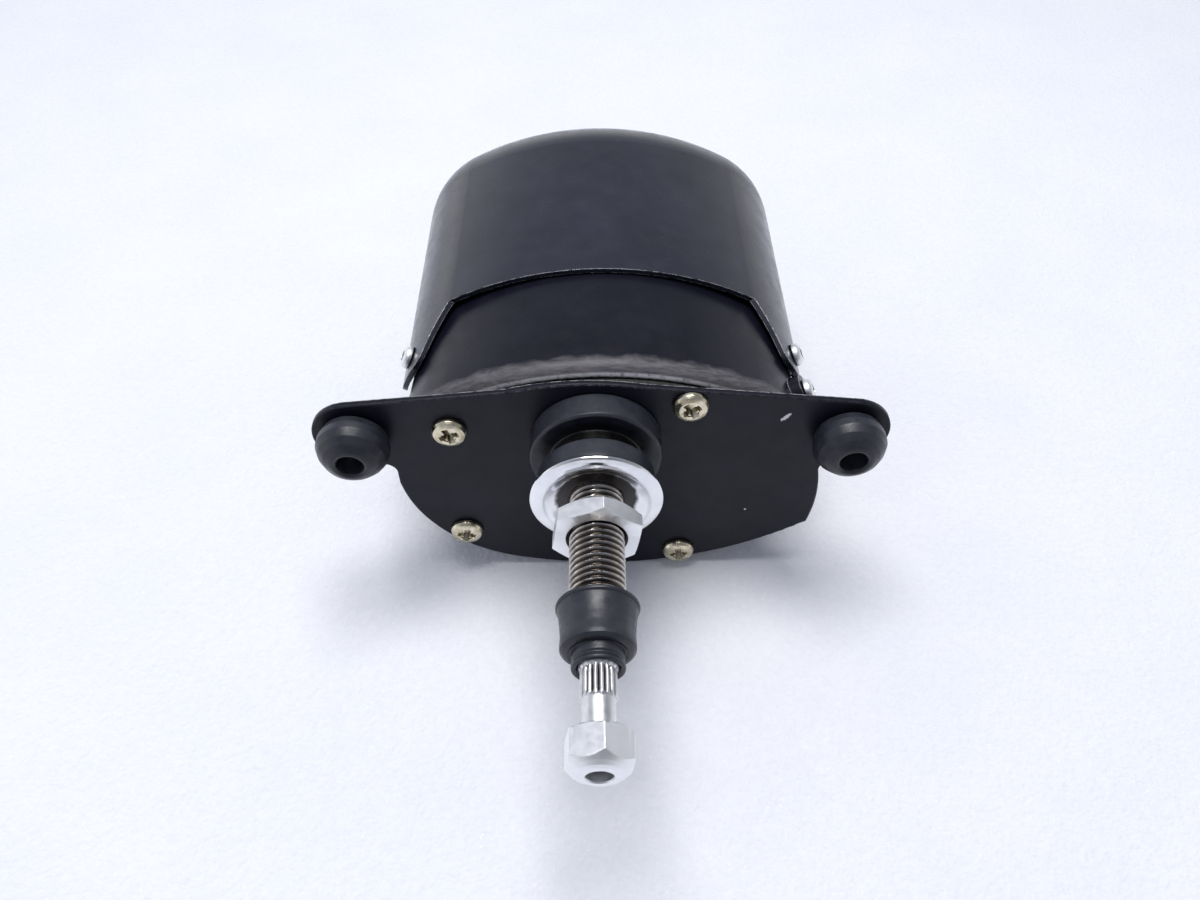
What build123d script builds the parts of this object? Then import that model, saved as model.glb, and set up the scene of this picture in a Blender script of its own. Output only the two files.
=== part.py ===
from build123d import *
import os
from math import acos, asin, atan2, cos, degrees, hypot, pi, radians, sin, sqrt, tan

# A windscreen wiper motor with its gearbox, all in millimetres.
# Frame: the origin is on the spindle's axis at the front face of the mounting plate.
# The spindle points along -Y, the motor lies behind the plate along +Y, and +Z is up.

# ---------------------------------------------------------------- driving dimensions
# Mounting plate
PLATE_T = 1.4
PLATE_TOP_Z = 17.5
PLATE_CROWN_X = -4.0
PLATE_CROWN_LEFT_X = -20.0
PLATE_CROWN_RIGHT_X = 11.0
PLATE_FLANK_SLOPE = 6.0
PLATE_LEFT_X = -47.5
PLATE_RIGHT_X = 52.8
PLATE_RIGHT_MID = (54.8, -22.0)
PLATE_CORNER = (53.9, -32.2)
PLATE_BOTTOM_Z = -49.4
PLATE_LEFT_ARC_TOP_Z = -15.5
PLATE_LEFT_ARC_MID = (-37.2, -36.9)
PLATE_LEFT_ARC_END = (-17.0, -47.4)
PLATE_BOTTOM_MID_X = 10.0
PLATE_INNER_CORNER_R = 3.0
PLATE_EDGE_R = 0.4
EAR_SPACING = 113.0
EAR_CENTRE_X = 1.4
EAR_Z = 1.3
EAR_R = 10.0
GASKET_T = 1.4
GASKET_INSET = 1.2

# Oval outline that the cover and the gear case share
HOUSING_X = 1.9
HOUSING_Z = -10.0
COVER_HALF_WIDTH = 50.3
COVER_HEIGHT_UP = 31.3
COVER_HEIGHT_DOWN = 38.8
SIDE_R_UP = 25.0
SIDE_R_DOWN = 30.0

# Motor cover, a drawn steel cup
COVER_T = 1.2
COVER_RIM_Y = 35.5
COVER_BACK_Y = 116.2
COVER_SHOULDER_R = 24.0
LUG_TIP_Y = 19.5
LUG_WIDTH = 11.0
LUG_ROOT_WIDTH = 27.0
LUG_TIP_R = 4.0

# Gear case, a drafted cup with a flange behind the plate
CASE_SIDE_GAP = 1.9
CASE_TOP_GAP = 0.4
CASE_DRAFT = 2.0
CASE_FRONT_T = 3.0
CASE_WALL = 2.2
CASE_END_Y = 40.0
CASE_FRONT_R = 3.2
FLANGE_T = 2.4
FLANGE_INSET = 1.0
FLANGE_TOP_Z = -9.0

# Bearing plate between the gears and the motor
BEARING_PLATE_T = 3.0

# Screws
PLATE_SCREW_POS = ((-33.4, 3.3), (21.2, 11.0), (-33.0, -34.1), (21.7, -43.3))
PLATE_SCREW_R = 2.4
PLATE_SCREW_HEAD_R = 4.1
PLATE_SCREW_HEAD_H = 2.3
COVER_SCREW_Y = 26.0
COVER_SCREW_Z = 1.5
COVER_SCREW_R = 1.9
COVER_SCREW_HEAD_R = 2.9
COVER_SCREW_HEAD_H = 2.0
COVER_SCREW_GRIP = 4.5
EARTH_SCREW_Y = 13.0
EARTH_PAD_RISE = 1.0
SIDE_PAD_R = 4.2
SIDE_PAD_DEPTH = 8.0
SIDE_BORE_L = 20.0

# Rubber grommets in the plate's ears
GROMMET_R = 8.4
GROMMET_FRONT_H = 9.4
GROMMET_BACK_H = 3.2
GROMMET_BACK_R = 7.6
GROMMET_NECK_R = 5.2
GROMMET_HOLE_R = 2.9
GROMMET_ROUND_R = 4.6

# Spindle, its bush and what sits on the bush
SPINDLE_R = 4.0
RUNNING_GAP = 0.05
BUSH_R = 5.9
BUSH_TIP_Y = -52.0
BUSH_COLLAR_R = 9.5
BUSH_COLLAR_H = 3.0
BUSH_SPIGOT_R = 7.0
SEAL_BASE_R = 15.0
SEAL_BASE_H = 6.8
SEAL_GROOVE_R = 11.6
SEAL_GROOVE_H = 4.5
SEAL_FRONT_R = 13.0
SEAL_FRONT_H = 5.6
WASHER_R = 14.7
WASHER_T = 0.9
WASHER_DISH = 1.6
WASHER_RIM_W = 3.2
WASHER_SEAT_R = 8.9
NUT_ACROSS_FLATS = 18.0
NUT_BACK_Y = -24.3
NUT_H = 4.5
NUT_TURN = 22.0
BOOT_RIM_Y = -45.6
BOOT_RIM_R = 8.6
BOOT_RIM_H = 3.2
BOOT_WAIST_R = 7.4
BOOT_BULGE_Y = -54.4
BOOT_BULGE_R = 7.7
BOOT_NECK_R = 5.4
BOOT_TIP_Y = -60.0
KNURL_R = 3.55
KNURL_H = 4.5
SHANK_R = 3.2
ARM_NUT_Y = -72.7
ARM_NUT_H = 8.8
ARM_NUT_ACROSS_FLATS = 12.0
ARM_NUT_TURN = 22.0
ARM_NUT_FACE_R = 4.3
ARM_NUT_CHAMFER_H = 2.2
ARM_NUT_HOLE_R = 2.55
SPINDLE_TIP_IN_NUT = 5.8

# Layers of the gear train, measured back from the case's inner front face
LAYER_GAP = 0.7
SECTOR_T = 6.0
CLIP_T = 0.8
CLIP_GAP = 0.1
LINK_T = 3.0
WHEEL_T = 5.0
REDUCTION_GEAR_T = 5.0
OPEN_PIVOT_GAP = 0.3
LINK_TO_WHEEL = 3.8
WHEEL_TO_REDUCTION = 3.2

# Gears
PRESSURE_ANGLE = 25.0
BACKLASH = 0.12
OUTPUT_MODULE = 1.25
OUTPUT_PINION_TEETH = 12
SECTOR_FULL_TEETH = 36
SECTOR_CUT_TEETH = 7
WHEEL_MODULE = 1.0
WHEEL_PINION_TEETH = 12
WHEEL_TEETH = 40
MOTOR_MODULE = 0.75
MOTOR_PINION_TEETH = 12
REDUCTION_TEETH = 48
SWEEP = 105.0
SECTOR_DIRECTION = 200.0
SECTOR_ARM = 20.0
SECTOR_ARM_DIRECTION = -70.0
REDUCTION_DIRECTION = -8.0
WHEEL_DIRECTION = 193.0
STUD_R = 3.0
WHEEL_SHOULDER = 0.8
WHEEL_HOLE_RING_R = 12.5
WHEEL_HOLE_R = 3.4
REDUCTION_SHOULDER = 2.0
REDUCTION_HOLE_RING_R = 11.6
REDUCTION_HOLE_R = 3.2
REDUCTION_HUB_H = 1.0
SECTOR_HUB_R = 7.0
SECTOR_HOLE_R = 3.0
LINK_PIN_R = 2.2
LINK_EYE_R = 4.4
CRANK_PIN_R = 2.0
STUD_CLIP_R = 3.7

# Motor
MOTOR_TO_SIDE = 49.7
MOTOR_Z = -13.0
YOKE_R = 30.0
YOKE_T = 2.4
YOKE_BOSS_END_T = 1.5
COMMUTATOR_GAP = 4.0
WINDING_END_GAP = 2.6
MAGNET_T = 5.2
MAGNET_L = 30.0
MAGNET_ANGLE = 120.0
AIR_GAP = 0.7
CORE_L = 26.0
CORE_SLOTS = 12
CORE_SLOT_W = 2.4
CORE_SLOT_DEPTH = 9.0
CORE_MOUTH_SINK = 1.2
WINDING_H = 6.0
COMMUTATOR_R = 8.0
COMMUTATOR_L = 8.0
COMMUTATOR_RIM = 1.5
SHAFT_R = 3.2
BEARING_R = 5.2
BEARING_L = 6.0
BRUSH_W = 5.0
BRUSH_L = 8.0
BRUSH_GAP = 0.1
BRUSH_CARD_T = 2.0
MOTOR_BOLT_R = 2.0
MOTOR_BOLT_HEAD_R = 3.6
MOTOR_BOLT_HEAD_H = 3.0
MOTOR_EAR_R = 5.0

# Wire inlet in the cover's back
INLET_X = 16.0
INLET_Z = -13.0
INLET_R = 5.0
INLET_LIP_R = 7.0
INLET_LIP_H = 3.0
INLET_INNER_LIP_H = 1.5
INLET_BORE_R = 2.6

# ---------------------------------------------------------------- derived places
# The motor and its gears keep their distance from the housing's side.
MOTOR_X = HOUSING_X + COVER_HALF_WIDTH - MOTOR_TO_SIDE
CASE_FRONT_Y = PLATE_T + GASKET_T
CASE_FLOOR_Y = CASE_FRONT_Y + CASE_FRONT_T
SECTOR_Y = CASE_FLOOR_Y + LAYER_GAP
SECTOR_END_Y = SECTOR_Y + SECTOR_T
LINK_Y = SECTOR_END_Y + CLIP_GAP + CLIP_T + LAYER_GAP
LINK_END_Y = LINK_Y + LINK_T
WHEEL_Y = LINK_END_Y + LINK_TO_WHEEL
WHEEL_END_Y = WHEEL_Y + WHEEL_T
REDUCTION_Y = WHEEL_END_Y + WHEEL_TO_REDUCTION
REDUCTION_END_Y = REDUCTION_Y + REDUCTION_GEAR_T
BEARING_PLATE_END_Y = CASE_END_Y + BEARING_PLATE_T
COMMUTATOR_Y = BEARING_PLATE_END_Y + COMMUTATOR_GAP
COMMUTATOR_END_Y = COMMUTATOR_Y + COMMUTATOR_L
CORE_Y = COMMUTATOR_END_Y + WINDING_H
CORE_END_Y = CORE_Y + CORE_L
MAGNET_Y = CORE_Y - (MAGNET_L - CORE_L) / 2
YOKE_FLOOR_Y = CORE_END_Y + WINDING_H + WINDING_END_GAP
YOKE_END_Y = YOKE_FLOOR_Y + YOKE_T
REAR_BEARING_END_Y = YOKE_FLOOR_Y + BEARING_L
CORE_R = YOKE_R - YOKE_T - MAGNET_T - AIR_GAP

SEAL_FRONT_Y = -(SEAL_BASE_H + SEAL_GROOVE_H + SEAL_FRONT_H)
WASHER_FACE_Y = SEAL_FRONT_Y - WASHER_T
NUT_FRONT_Y = NUT_BACK_Y - NUT_H
KNURL_END_Y = BOOT_TIP_Y - KNURL_H
ARM_NUT_FRONT_Y = ARM_NUT_Y - ARM_NUT_H
SPINDLE_TIP_Y = ARM_NUT_Y - SPINDLE_TIP_IN_NUT

EAR_LEFT_X = EAR_CENTRE_X - EAR_SPACING / 2
EAR_RIGHT_X = EAR_CENTRE_X + EAR_SPACING / 2


def polar(centre, radius, angle):
    """The point at a radius and an angle in degrees from a centre, all in X and Z."""
    return (
        centre[0] + radius * cos(radians(angle)),
        centre[1] + radius * sin(radians(angle)),
    )


def pitch_r(module, teeth):
    return module * teeth / 2


SPINDLE_POS = (0.0, 0.0)
MOTOR_POS = (MOTOR_X, MOTOR_Z)
SECTOR_POS = polar(
    SPINDLE_POS,
    pitch_r(OUTPUT_MODULE, OUTPUT_PINION_TEETH + SECTOR_FULL_TEETH),
    SECTOR_DIRECTION,
)
LINK_PIN_POS = polar(SECTOR_POS, SECTOR_ARM, SECTOR_ARM_DIRECTION)
REDUCTION_POS = polar(
    MOTOR_POS,
    pitch_r(MOTOR_MODULE, MOTOR_PINION_TEETH + REDUCTION_TEETH),
    REDUCTION_DIRECTION,
)
WHEEL_POS = polar(
    REDUCTION_POS,
    pitch_r(WHEEL_MODULE, WHEEL_PINION_TEETH + WHEEL_TEETH),
    WHEEL_DIRECTION,
)
# The crank's throw turns the sector by a third of the wiper's sweep.
SECTOR_HALF_SWING = SWEEP / 2 * OUTPUT_PINION_TEETH / SECTOR_FULL_TEETH
CRANK_R = SECTOR_ARM * sin(radians(SECTOR_HALF_SWING))
LINK_HEADING = degrees(
    atan2(LINK_PIN_POS[1] - WHEEL_POS[1], LINK_PIN_POS[0] - WHEEL_POS[0])
)
CRANK_PIN_POS = polar(WHEEL_POS, CRANK_R, LINK_HEADING - 90)


# ---------------------------------------------------------------- shared shapes
def prism(sketch, y0, y1):
    """A sketch drawn in X and Z, made solid between two Y levels."""
    plane = Plane(origin=(0, y1, 0), x_dir=(1, 0, 0), z_dir=(0, -1, 0))
    return extrude(plane * sketch, y1 - y0)


def rod(centre, radius, y0, y1):
    """A cylinder along Y."""
    return prism(Pos(*centre) * Circle(radius), y0, y1)


def tube(centre, outer, inner, y0, y1):
    """A hollow cylinder along Y."""
    return prism(Pos(*centre) * (Circle(outer) - Circle(inner)), y0, y1)


def turned(profile, centre=(0.0, 0.0)):
    """A solid turned about a Y axis from a closed profile of (y, radius) points."""
    points = [(radius, y, 0) for y, radius in profile]
    face = make_face(Polyline(*points, close=True))
    return Pos(centre[0], 0, centre[1]) * revolve(face, Axis.Y)


def arch(half_width, height, side_r):
    """Half an oval of three tangent arcs: its crown radius and where the arcs meet."""
    crown_r = ((half_width - side_r) ** 2 + height**2 - side_r**2) / (
        2 * (height - side_r)
    )
    side = (half_width - side_r, 0.0)
    crown = (0.0, height - crown_r)
    span = hypot(side[0] - crown[0], side[1] - crown[1])
    meet = (
        crown[0] + crown_r * (side[0] - crown[0]) / span,
        crown[1] + crown_r * (side[1] - crown[1]) / span,
    )
    mid_angle = atan2(meet[1] - side[1], meet[0] - side[0]) / 2
    mid = (side[0] + side_r * cos(mid_angle), side_r * sin(mid_angle))
    return meet, mid


def oval(side_gap, crown_gap):
    """The housing's outline, inset by one gap at its sides and another at its crowns."""
    half = COVER_HALF_WIDTH - side_gap
    up = COVER_HEIGHT_UP - crown_gap
    down = COVER_HEIGHT_DOWN - crown_gap
    meet_up, mid_up = arch(half, up, SIDE_R_UP - side_gap)
    meet_dn, mid_dn = arch(half, down, SIDE_R_DOWN - side_gap)
    edges = [
        ThreePointArc((half, 0), mid_up, meet_up),
        ThreePointArc(meet_up, (0, up), (-meet_up[0], meet_up[1])),
        ThreePointArc((-meet_up[0], meet_up[1]), (-mid_up[0], mid_up[1]), (-half, 0)),
        ThreePointArc((-half, 0), (-mid_dn[0], -mid_dn[1]), (-meet_dn[0], -meet_dn[1])),
        ThreePointArc((-meet_dn[0], -meet_dn[1]), (0, -down), (meet_dn[0], -meet_dn[1])),
        ThreePointArc((meet_dn[0], -meet_dn[1]), (mid_dn[0], -mid_dn[1]), (half, 0)),
    ]
    return Pos(HOUSING_X, HOUSING_Z) * make_face(edges)


def hexagon(across_flats, turn):
    return Rot(0, 0, turn) * RegularPolygon(across_flats / 2, 6, major_radius=False)


def slot_shape(p0, p1, radius):
    """A bar with round ends between two points, as a sketch."""
    length = hypot(p1[0] - p0[0], p1[1] - p0[1])
    heading = degrees(atan2(p1[1] - p0[1], p1[0] - p0[0]))
    middle = ((p0[0] + p1[0]) / 2, (p0[1] + p1[1]) / 2)
    return Pos(*middle) * Rot(0, 0, heading) * SlotCenterToCenter(length, radius * 2)


def gear_face(module, teeth, phase, cut_teeth=None):
    """A spur gear's involute outline. A tooth is centred at phase degrees.

    With cut_teeth, only that many teeth are cut, evenly about phase, and the rest
    of the rim stays at the root circle.
    """
    pressure = radians(PRESSURE_ANGLE)
    pitch = pitch_r(module, teeth)
    base = pitch * cos(pressure)
    tip = pitch + module
    root = pitch - 1.25 * module
    half_tooth = pi / (2 * teeth) - BACKLASH / (4 * pitch) + tan(pressure) - pressure
    start_r = max(base, root)

    def flank_angle(radius):
        at = acos(min(1.0, base / radius))
        return half_tooth - (tan(at) - at)

    radii = [start_r + (tip - start_r) * k / 3 for k in range(4)]
    count = cut_teeth or teeth
    first = phase - (count - 1) * 180 / teeth if cut_teeth else phase
    edges = []
    starts = []
    ends = []
    for k in range(count):
        middle = first + k * 360 / teeth

        def point(radius, side):
            return polar((0, 0), radius, middle + side * degrees(flank_angle(radius)))

        low = polar((0, 0), root, middle - degrees(flank_angle(start_r)))
        high = polar((0, 0), root, middle + degrees(flank_angle(start_r)))
        rising = [point(r, -1) for r in radii]
        falling = [point(r, 1) for r in reversed(radii)]
        if root < start_r - 1e-6:
            edges.append(Line(low, rising[0]))
        edges.append(Spline(*rising))
        edges.append(ThreePointArc(rising[-1], polar((0, 0), tip, middle), falling[0]))
        edges.append(Spline(*falling))
        if root < start_r - 1e-6:
            edges.append(Line(falling[-1], high))
        starts.append(low)
        ends.append(high)
    for k in range(count):
        following = (k + 1) % count
        a = ends[k]
        b = starts[following]
        from_angle = degrees(atan2(a[1], a[0]))
        to_angle = degrees(atan2(b[1], b[0]))
        while to_angle <= from_angle:
            to_angle += 360
        edges.append(
            ThreePointArc(a, polar((0, 0), root, (from_angle + to_angle) / 2), b)
        )
    return make_face(edges)


# ---------------------------------------------------------------- plate and housing
def plate_outline():
    """The plate's outline: low crown, two round ears, a round and a sharp low corner."""
    low = EAR_Z - EAR_R
    top_left = polar((EAR_LEFT_X, EAR_Z), EAR_R, 90 + PLATE_FLANK_SLOPE)
    top_right = polar((EAR_RIGHT_X, EAR_Z), EAR_R, 90 - PLATE_FLANK_SLOPE)
    climb = tan(radians(PLATE_FLANK_SLOPE))
    crown_left = (
        PLATE_CROWN_LEFT_X,
        top_left[1] + (PLATE_CROWN_LEFT_X - top_left[0]) * climb,
    )
    crown_right = (
        PLATE_CROWN_RIGHT_X,
        top_right[1] + (top_right[0] - PLATE_CROWN_RIGHT_X) * climb,
    )
    edges = [
        Line(top_left, crown_left),
        ThreePointArc(crown_left, (PLATE_CROWN_X, PLATE_TOP_Z), crown_right),
        Line(crown_right, top_right),
        ThreePointArc(top_right, (EAR_RIGHT_X + EAR_R, EAR_Z), (EAR_RIGHT_X, low)),
        Line((EAR_RIGHT_X, low), (PLATE_RIGHT_X, low)),
        ThreePointArc((PLATE_RIGHT_X, low), PLATE_RIGHT_MID, PLATE_CORNER),
        ThreePointArc(
            PLATE_CORNER, (PLATE_BOTTOM_MID_X, PLATE_BOTTOM_Z), PLATE_LEFT_ARC_END
        ),
        ThreePointArc(
            PLATE_LEFT_ARC_END, PLATE_LEFT_ARC_MID, (PLATE_LEFT_X, PLATE_LEFT_ARC_TOP_Z)
        ),
        Line((PLATE_LEFT_X, PLATE_LEFT_ARC_TOP_Z), (PLATE_LEFT_X, low)),
        Line((PLATE_LEFT_X, low), (EAR_LEFT_X, low)),
        ThreePointArc((EAR_LEFT_X, low), (EAR_LEFT_X - EAR_R, EAR_Z), top_left),
    ]
    return make_face(edges)


def screw_holes(radius):
    return [Pos(*pos) * Circle(radius) for pos in PLATE_SCREW_POS]


def make_mount_plate():
    face = plate_outline()
    low = EAR_Z - EAR_R
    corners = [
        v
        for v in face.vertices()
        if abs(v.Y - low) < 0.01
        and (abs(v.X - PLATE_LEFT_X) < 0.01 or abs(v.X - PLATE_RIGHT_X) < 0.01)
    ]
    face = fillet(corners, PLATE_INNER_CORNER_R)
    for hole in screw_holes(PLATE_SCREW_R):
        face = face - hole
    face = face - Circle(BUSH_SPIGOT_R)
    for x in (EAR_LEFT_X, EAR_RIGHT_X):
        face = face - Pos(x, EAR_Z) * Circle(GROMMET_NECK_R)
    plate = prism(face, 0, PLATE_T)
    front = plate.faces().sort_by(Axis.Y)[0]
    return fillet(front.outer_wire().edges(), PLATE_EDGE_R)


def flange_outline(inset):
    """The case's flange: the plate's lower outline, inset, below the ears."""
    body = offset(plate_outline(), -inset, kind=Kind.INTERSECTION)
    right = PLATE_RIGHT_MID[0]
    width = right - PLATE_LEFT_X - 2 * inset
    middle = (right + PLATE_LEFT_X) / 2
    depth = FLANGE_TOP_Z - PLATE_BOTTOM_Z + 10
    window = Pos(middle, FLANGE_TOP_Z - depth / 2) * Rectangle(width, depth)
    return body & window


def make_plate_gasket():
    face = flange_outline(GASKET_INSET) + case_oval(CASE_FRONT_R, CASE_FRONT_Y)
    for hole in screw_holes(PLATE_SCREW_R):
        face = face - hole
    face = face - Circle(BUSH_SPIGOT_R)
    return prism(face, PLATE_T, CASE_FRONT_Y)


def case_oval(wall, y):
    """The case's outline at a Y level, inset by a wall. It widens towards the plate."""
    draft = CASE_DRAFT * (CASE_END_Y - y) / (CASE_END_Y - CASE_FRONT_Y)
    inset = COVER_T + wall
    return oval(inset + CASE_SIDE_GAP - draft, inset + CASE_TOP_GAP)


def case_block(wall, y0, y1):
    """The case's drafted oval body, inset by a wall, between two Y levels."""
    sections = []
    for y in (y0, y1):
        plane = Plane(origin=(0, y, 0), x_dir=(1, 0, 0), z_dir=(0, -1, 0))
        sections.append(plane * case_oval(wall, y))
    return loft(sections, ruled=True)


def side_seat(side, y, z, gap):
    """A seat on the housing's side: its local +Z points straight out of the surface.

    side is -1 or +1, z the height on the outer surface, and gap an inset from it.
    """
    rise = z - HOUSING_Z
    arc_r = SIDE_R_UP if rise >= 0 else SIDE_R_DOWN
    lean = asin(rise / arc_r)
    reach = COVER_HALF_WIDTH - arc_r + (arc_r - gap) * cos(lean)
    spot = (HOUSING_X + side * reach, y, HOUSING_Z + (arc_r - gap) * sin(lean))
    out = (side * cos(lean), 0, sin(lean))
    return Plane(origin=spot, x_dir=(0, 1, 0), z_dir=out).location


def make_gear_case():
    outer = case_block(0, CASE_FRONT_Y, CASE_END_Y)
    front_edges = outer.edges().filter_by(
        lambda e: abs(e.center().Y - CASE_FRONT_Y) < 0.01
    )
    outer = fillet(front_edges, CASE_FRONT_R)
    body = outer + prism(
        flange_outline(FLANGE_INSET), CASE_FRONT_Y, CASE_FRONT_Y + FLANGE_T
    )
    for seat, inset in zip(SIDE_SCREWS, SIDE_PAD_INSETS):
        limit = prism(oval(inset, inset), CASE_FRONT_Y, CASE_END_Y)
        pad = side_seat(*seat, 0) * Cylinder(SIDE_PAD_R, SIDE_PAD_DEPTH)
        body = body + (pad & limit)
    body = body - case_block(CASE_WALL, CASE_FLOOR_Y, CASE_END_Y)
    for seat in SIDE_SCREWS:
        body = body - side_seat(*seat, 0) * Cylinder(COVER_SCREW_R, SIDE_BORE_L)
    for pos in PLATE_SCREW_POS:
        body = body - rod(pos, PLATE_SCREW_R, CASE_FRONT_Y - 1, CASE_FLOOR_Y + 1)
    body = body - rod(SPINDLE_POS, BUSH_SPIGOT_R, CASE_FRONT_Y - 1, CASE_FLOOR_Y + 1)
    return body - rod(SECTOR_POS, STUD_R, CASE_FRONT_Y - 1, CASE_FLOOR_Y + 1)


def make_motor_cover():
    outer = prism(oval(0, 0), COVER_RIM_Y, COVER_BACK_Y)
    back = outer.edges().filter_by(lambda e: abs(e.center().Y - COVER_BACK_Y) < 0.01)
    outer = fillet(back, COVER_SHOULDER_R)
    inner = prism(oval(COVER_T, COVER_T), COVER_RIM_Y, COVER_BACK_Y - COVER_T)
    back = inner.edges().filter_by(
        lambda e: abs(e.center().Y - COVER_BACK_Y + COVER_T) < 0.01
    )
    inner = fillet(back, COVER_SHOULDER_R - COVER_T)
    cover = outer - inner
    skirt = prism(oval(0, 0) - oval(COVER_T, COVER_T), LUG_TIP_Y, COVER_RIM_Y)
    lug_l = COVER_RIM_Y - LUG_TIP_Y
    root = (lug_l, LUG_ROOT_WIDTH / 2)
    tip = (0.0, LUG_WIDTH / 2)
    window = make_face(
        Polyline(root, tip, (tip[0], -tip[1]), (root[0], -root[1]), close=True)
    )
    window = fillet(window.vertices().sort_by(Axis.X)[:2], LUG_TIP_R)
    for side in (-1, 1):
        seat = side_seat(side, LUG_TIP_Y, COVER_SCREW_Z, 0)
        cover = cover + (skirt & extrude(seat * window, 10, both=True))
        hole = side_seat(side, COVER_SCREW_Y, COVER_SCREW_Z, 0)
        cover = cover - hole * Cylinder(COVER_SCREW_R, SIDE_BORE_L)
    return cover - rod((INLET_X, INLET_Z), INLET_R, COVER_BACK_Y - 10, COVER_BACK_Y + 1)


# Side screws: two hold the cover's lugs and one is the earth point near the plate.
SIDE_SCREWS = (
    (-1, COVER_SCREW_Y, COVER_SCREW_Z),
    (1, COVER_SCREW_Y, COVER_SCREW_Z),
    (1, EARTH_SCREW_Y, COVER_SCREW_Z),
)
# How far each screw's pad on the case stays inside the cover's outer surface.
SIDE_PAD_INSETS = (COVER_T, COVER_T, -EARTH_PAD_RISE)


def pan_screw(radius, head_r, head_h, length):
    """A pan-head screw along +Z, its head above z = 0 and its shank below."""
    head = Cylinder(head_r, head_h, align=(Align.CENTER, Align.CENTER, Align.MIN))
    crown = head.edges().filter_by(GeomType.CIRCLE).sort_by(Axis.Z)[-1]
    head = fillet(crown, head_h * 0.6)
    shank = Cylinder(radius, length, align=(Align.CENTER, Align.CENTER, Align.MAX))
    return head + shank


def make_plate_screw(pos):
    screw = pan_screw(PLATE_SCREW_R, PLATE_SCREW_HEAD_R, PLATE_SCREW_HEAD_H, CASE_FLOOR_Y)
    return Pos(pos[0], 0, pos[1]) * Rot(90, 0, 0) * screw


def make_side_screw(seat, gap):
    screw = pan_screw(
        COVER_SCREW_R, COVER_SCREW_HEAD_R, COVER_SCREW_HEAD_H, COVER_SCREW_GRIP
    )
    return side_seat(*seat, gap) * screw


def make_grommet(x):
    """A barrel-shaped rubber grommet that grips the ear's hole."""
    front = Cylinder(
        GROMMET_R, GROMMET_FRONT_H, align=(Align.CENTER, Align.CENTER, Align.MIN)
    )
    rims = front.edges().filter_by(GeomType.CIRCLE).sort_by(Axis.Z)
    front = fillet(rims[-1], GROMMET_ROUND_R)
    front = fillet(
        front.edges().filter_by(GeomType.CIRCLE).sort_by(Axis.Z)[0],
        (GROMMET_FRONT_H - GROMMET_ROUND_R) * 0.5,
    )
    back = Cylinder(
        GROMMET_BACK_R,
        GROMMET_BACK_H,
        align=(Align.CENTER, Align.CENTER, Align.MAX),
    )
    back = fillet(
        back.edges().filter_by(GeomType.CIRCLE).sort_by(Axis.Z)[0], GROMMET_BACK_H * 0.6
    )
    neck = Cylinder(
        GROMMET_NECK_R, PLATE_T, align=(Align.CENTER, Align.CENTER, Align.MAX)
    )
    body = front + neck + Pos(0, 0, -PLATE_T) * back
    body = body - Cylinder(GROMMET_HOLE_R, 4 * GROMMET_FRONT_H)
    return Pos(x, 0, EAR_Z) * Rot(90, 0, 0) * body


# ---------------------------------------------------------------- spindle and its seat
def make_spindle_bush():
    """The threaded bush, its collar on the plate and its spigot through the case."""
    bush = turned(
        [
            (BUSH_TIP_Y, SPINDLE_R + RUNNING_GAP),
            (BUSH_TIP_Y, BUSH_R - 0.6),
            (BUSH_TIP_Y + 0.6, BUSH_R),
            (-BUSH_COLLAR_H, BUSH_R),
            (-BUSH_COLLAR_H, BUSH_COLLAR_R),
            (0, BUSH_COLLAR_R),
            (0, BUSH_SPIGOT_R),
            (CASE_FLOOR_Y, BUSH_SPIGOT_R),
            (CASE_FLOOR_Y, SPINDLE_R + RUNNING_GAP),
        ]
    )
    return bush


def make_panel_seal():
    """The stepped rubber bush that fills the hole in the vehicle's panel."""
    groove_y = -SEAL_BASE_H
    lip_y = groove_y - SEAL_GROOVE_H
    seal = turned(
        [
            (0, BUSH_COLLAR_R),
            (0, SEAL_BASE_R - 0.6),
            (-0.6, SEAL_BASE_R),
            (groove_y + 2.0, SEAL_BASE_R),
            (groove_y + 0.6, SEAL_BASE_R - 0.6),
            (groove_y, SEAL_BASE_R - 2.0),
            (groove_y, SEAL_GROOVE_R),
            (lip_y, SEAL_GROOVE_R),
            (lip_y, SEAL_FRONT_R - 0.6),
            (lip_y - 0.6, SEAL_FRONT_R),
            (SEAL_FRONT_Y + 1.2, SEAL_FRONT_R),
            (SEAL_FRONT_Y, SEAL_FRONT_R - 1.2),
            (SEAL_FRONT_Y, BUSH_R),
            (-BUSH_COLLAR_H, BUSH_R),
            (-BUSH_COLLAR_H, BUSH_COLLAR_R),
        ]
    )
    return seal


def make_cup_washer():
    """A dished washer: a seat on the rubber, a cone and a flat rim further forward."""
    back = SEAL_FRONT_Y
    face = WASHER_FACE_Y
    rim_back = back - WASHER_DISH
    rim_face = face - WASHER_DISH
    rim_r = WASHER_R - WASHER_RIM_W
    edge = WASHER_T / 4
    return turned(
        [
            (back, BUSH_R),
            (back, WASHER_SEAT_R),
            (rim_back, rim_r),
            (rim_back, WASHER_R - edge),
            (rim_back - edge, WASHER_R),
            (rim_face + edge, WASHER_R),
            (rim_face, WASHER_R - edge),
            (rim_face, rim_r - edge),
            (face, WASHER_SEAT_R - edge),
            (face, BUSH_R),
        ]
    )


def hex_nut(across_flats, turn, y0, y1, bore):
    """A hex nut along Y with both ends chamfered to a round face."""
    block = prism(hexagon(across_flats, turn) - Circle(bore), y0, y1)
    corner_r = across_flats / sqrt(3)
    face_r = across_flats / 2 * 0.97
    drop = (corner_r - face_r) * tan(radians(30))
    trim = turned(
        [(y0, 0), (y0, face_r), (y0 + drop, corner_r), (y1 - drop, corner_r), (y1, face_r), (y1, 0)]
    )
    return block & trim


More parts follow.
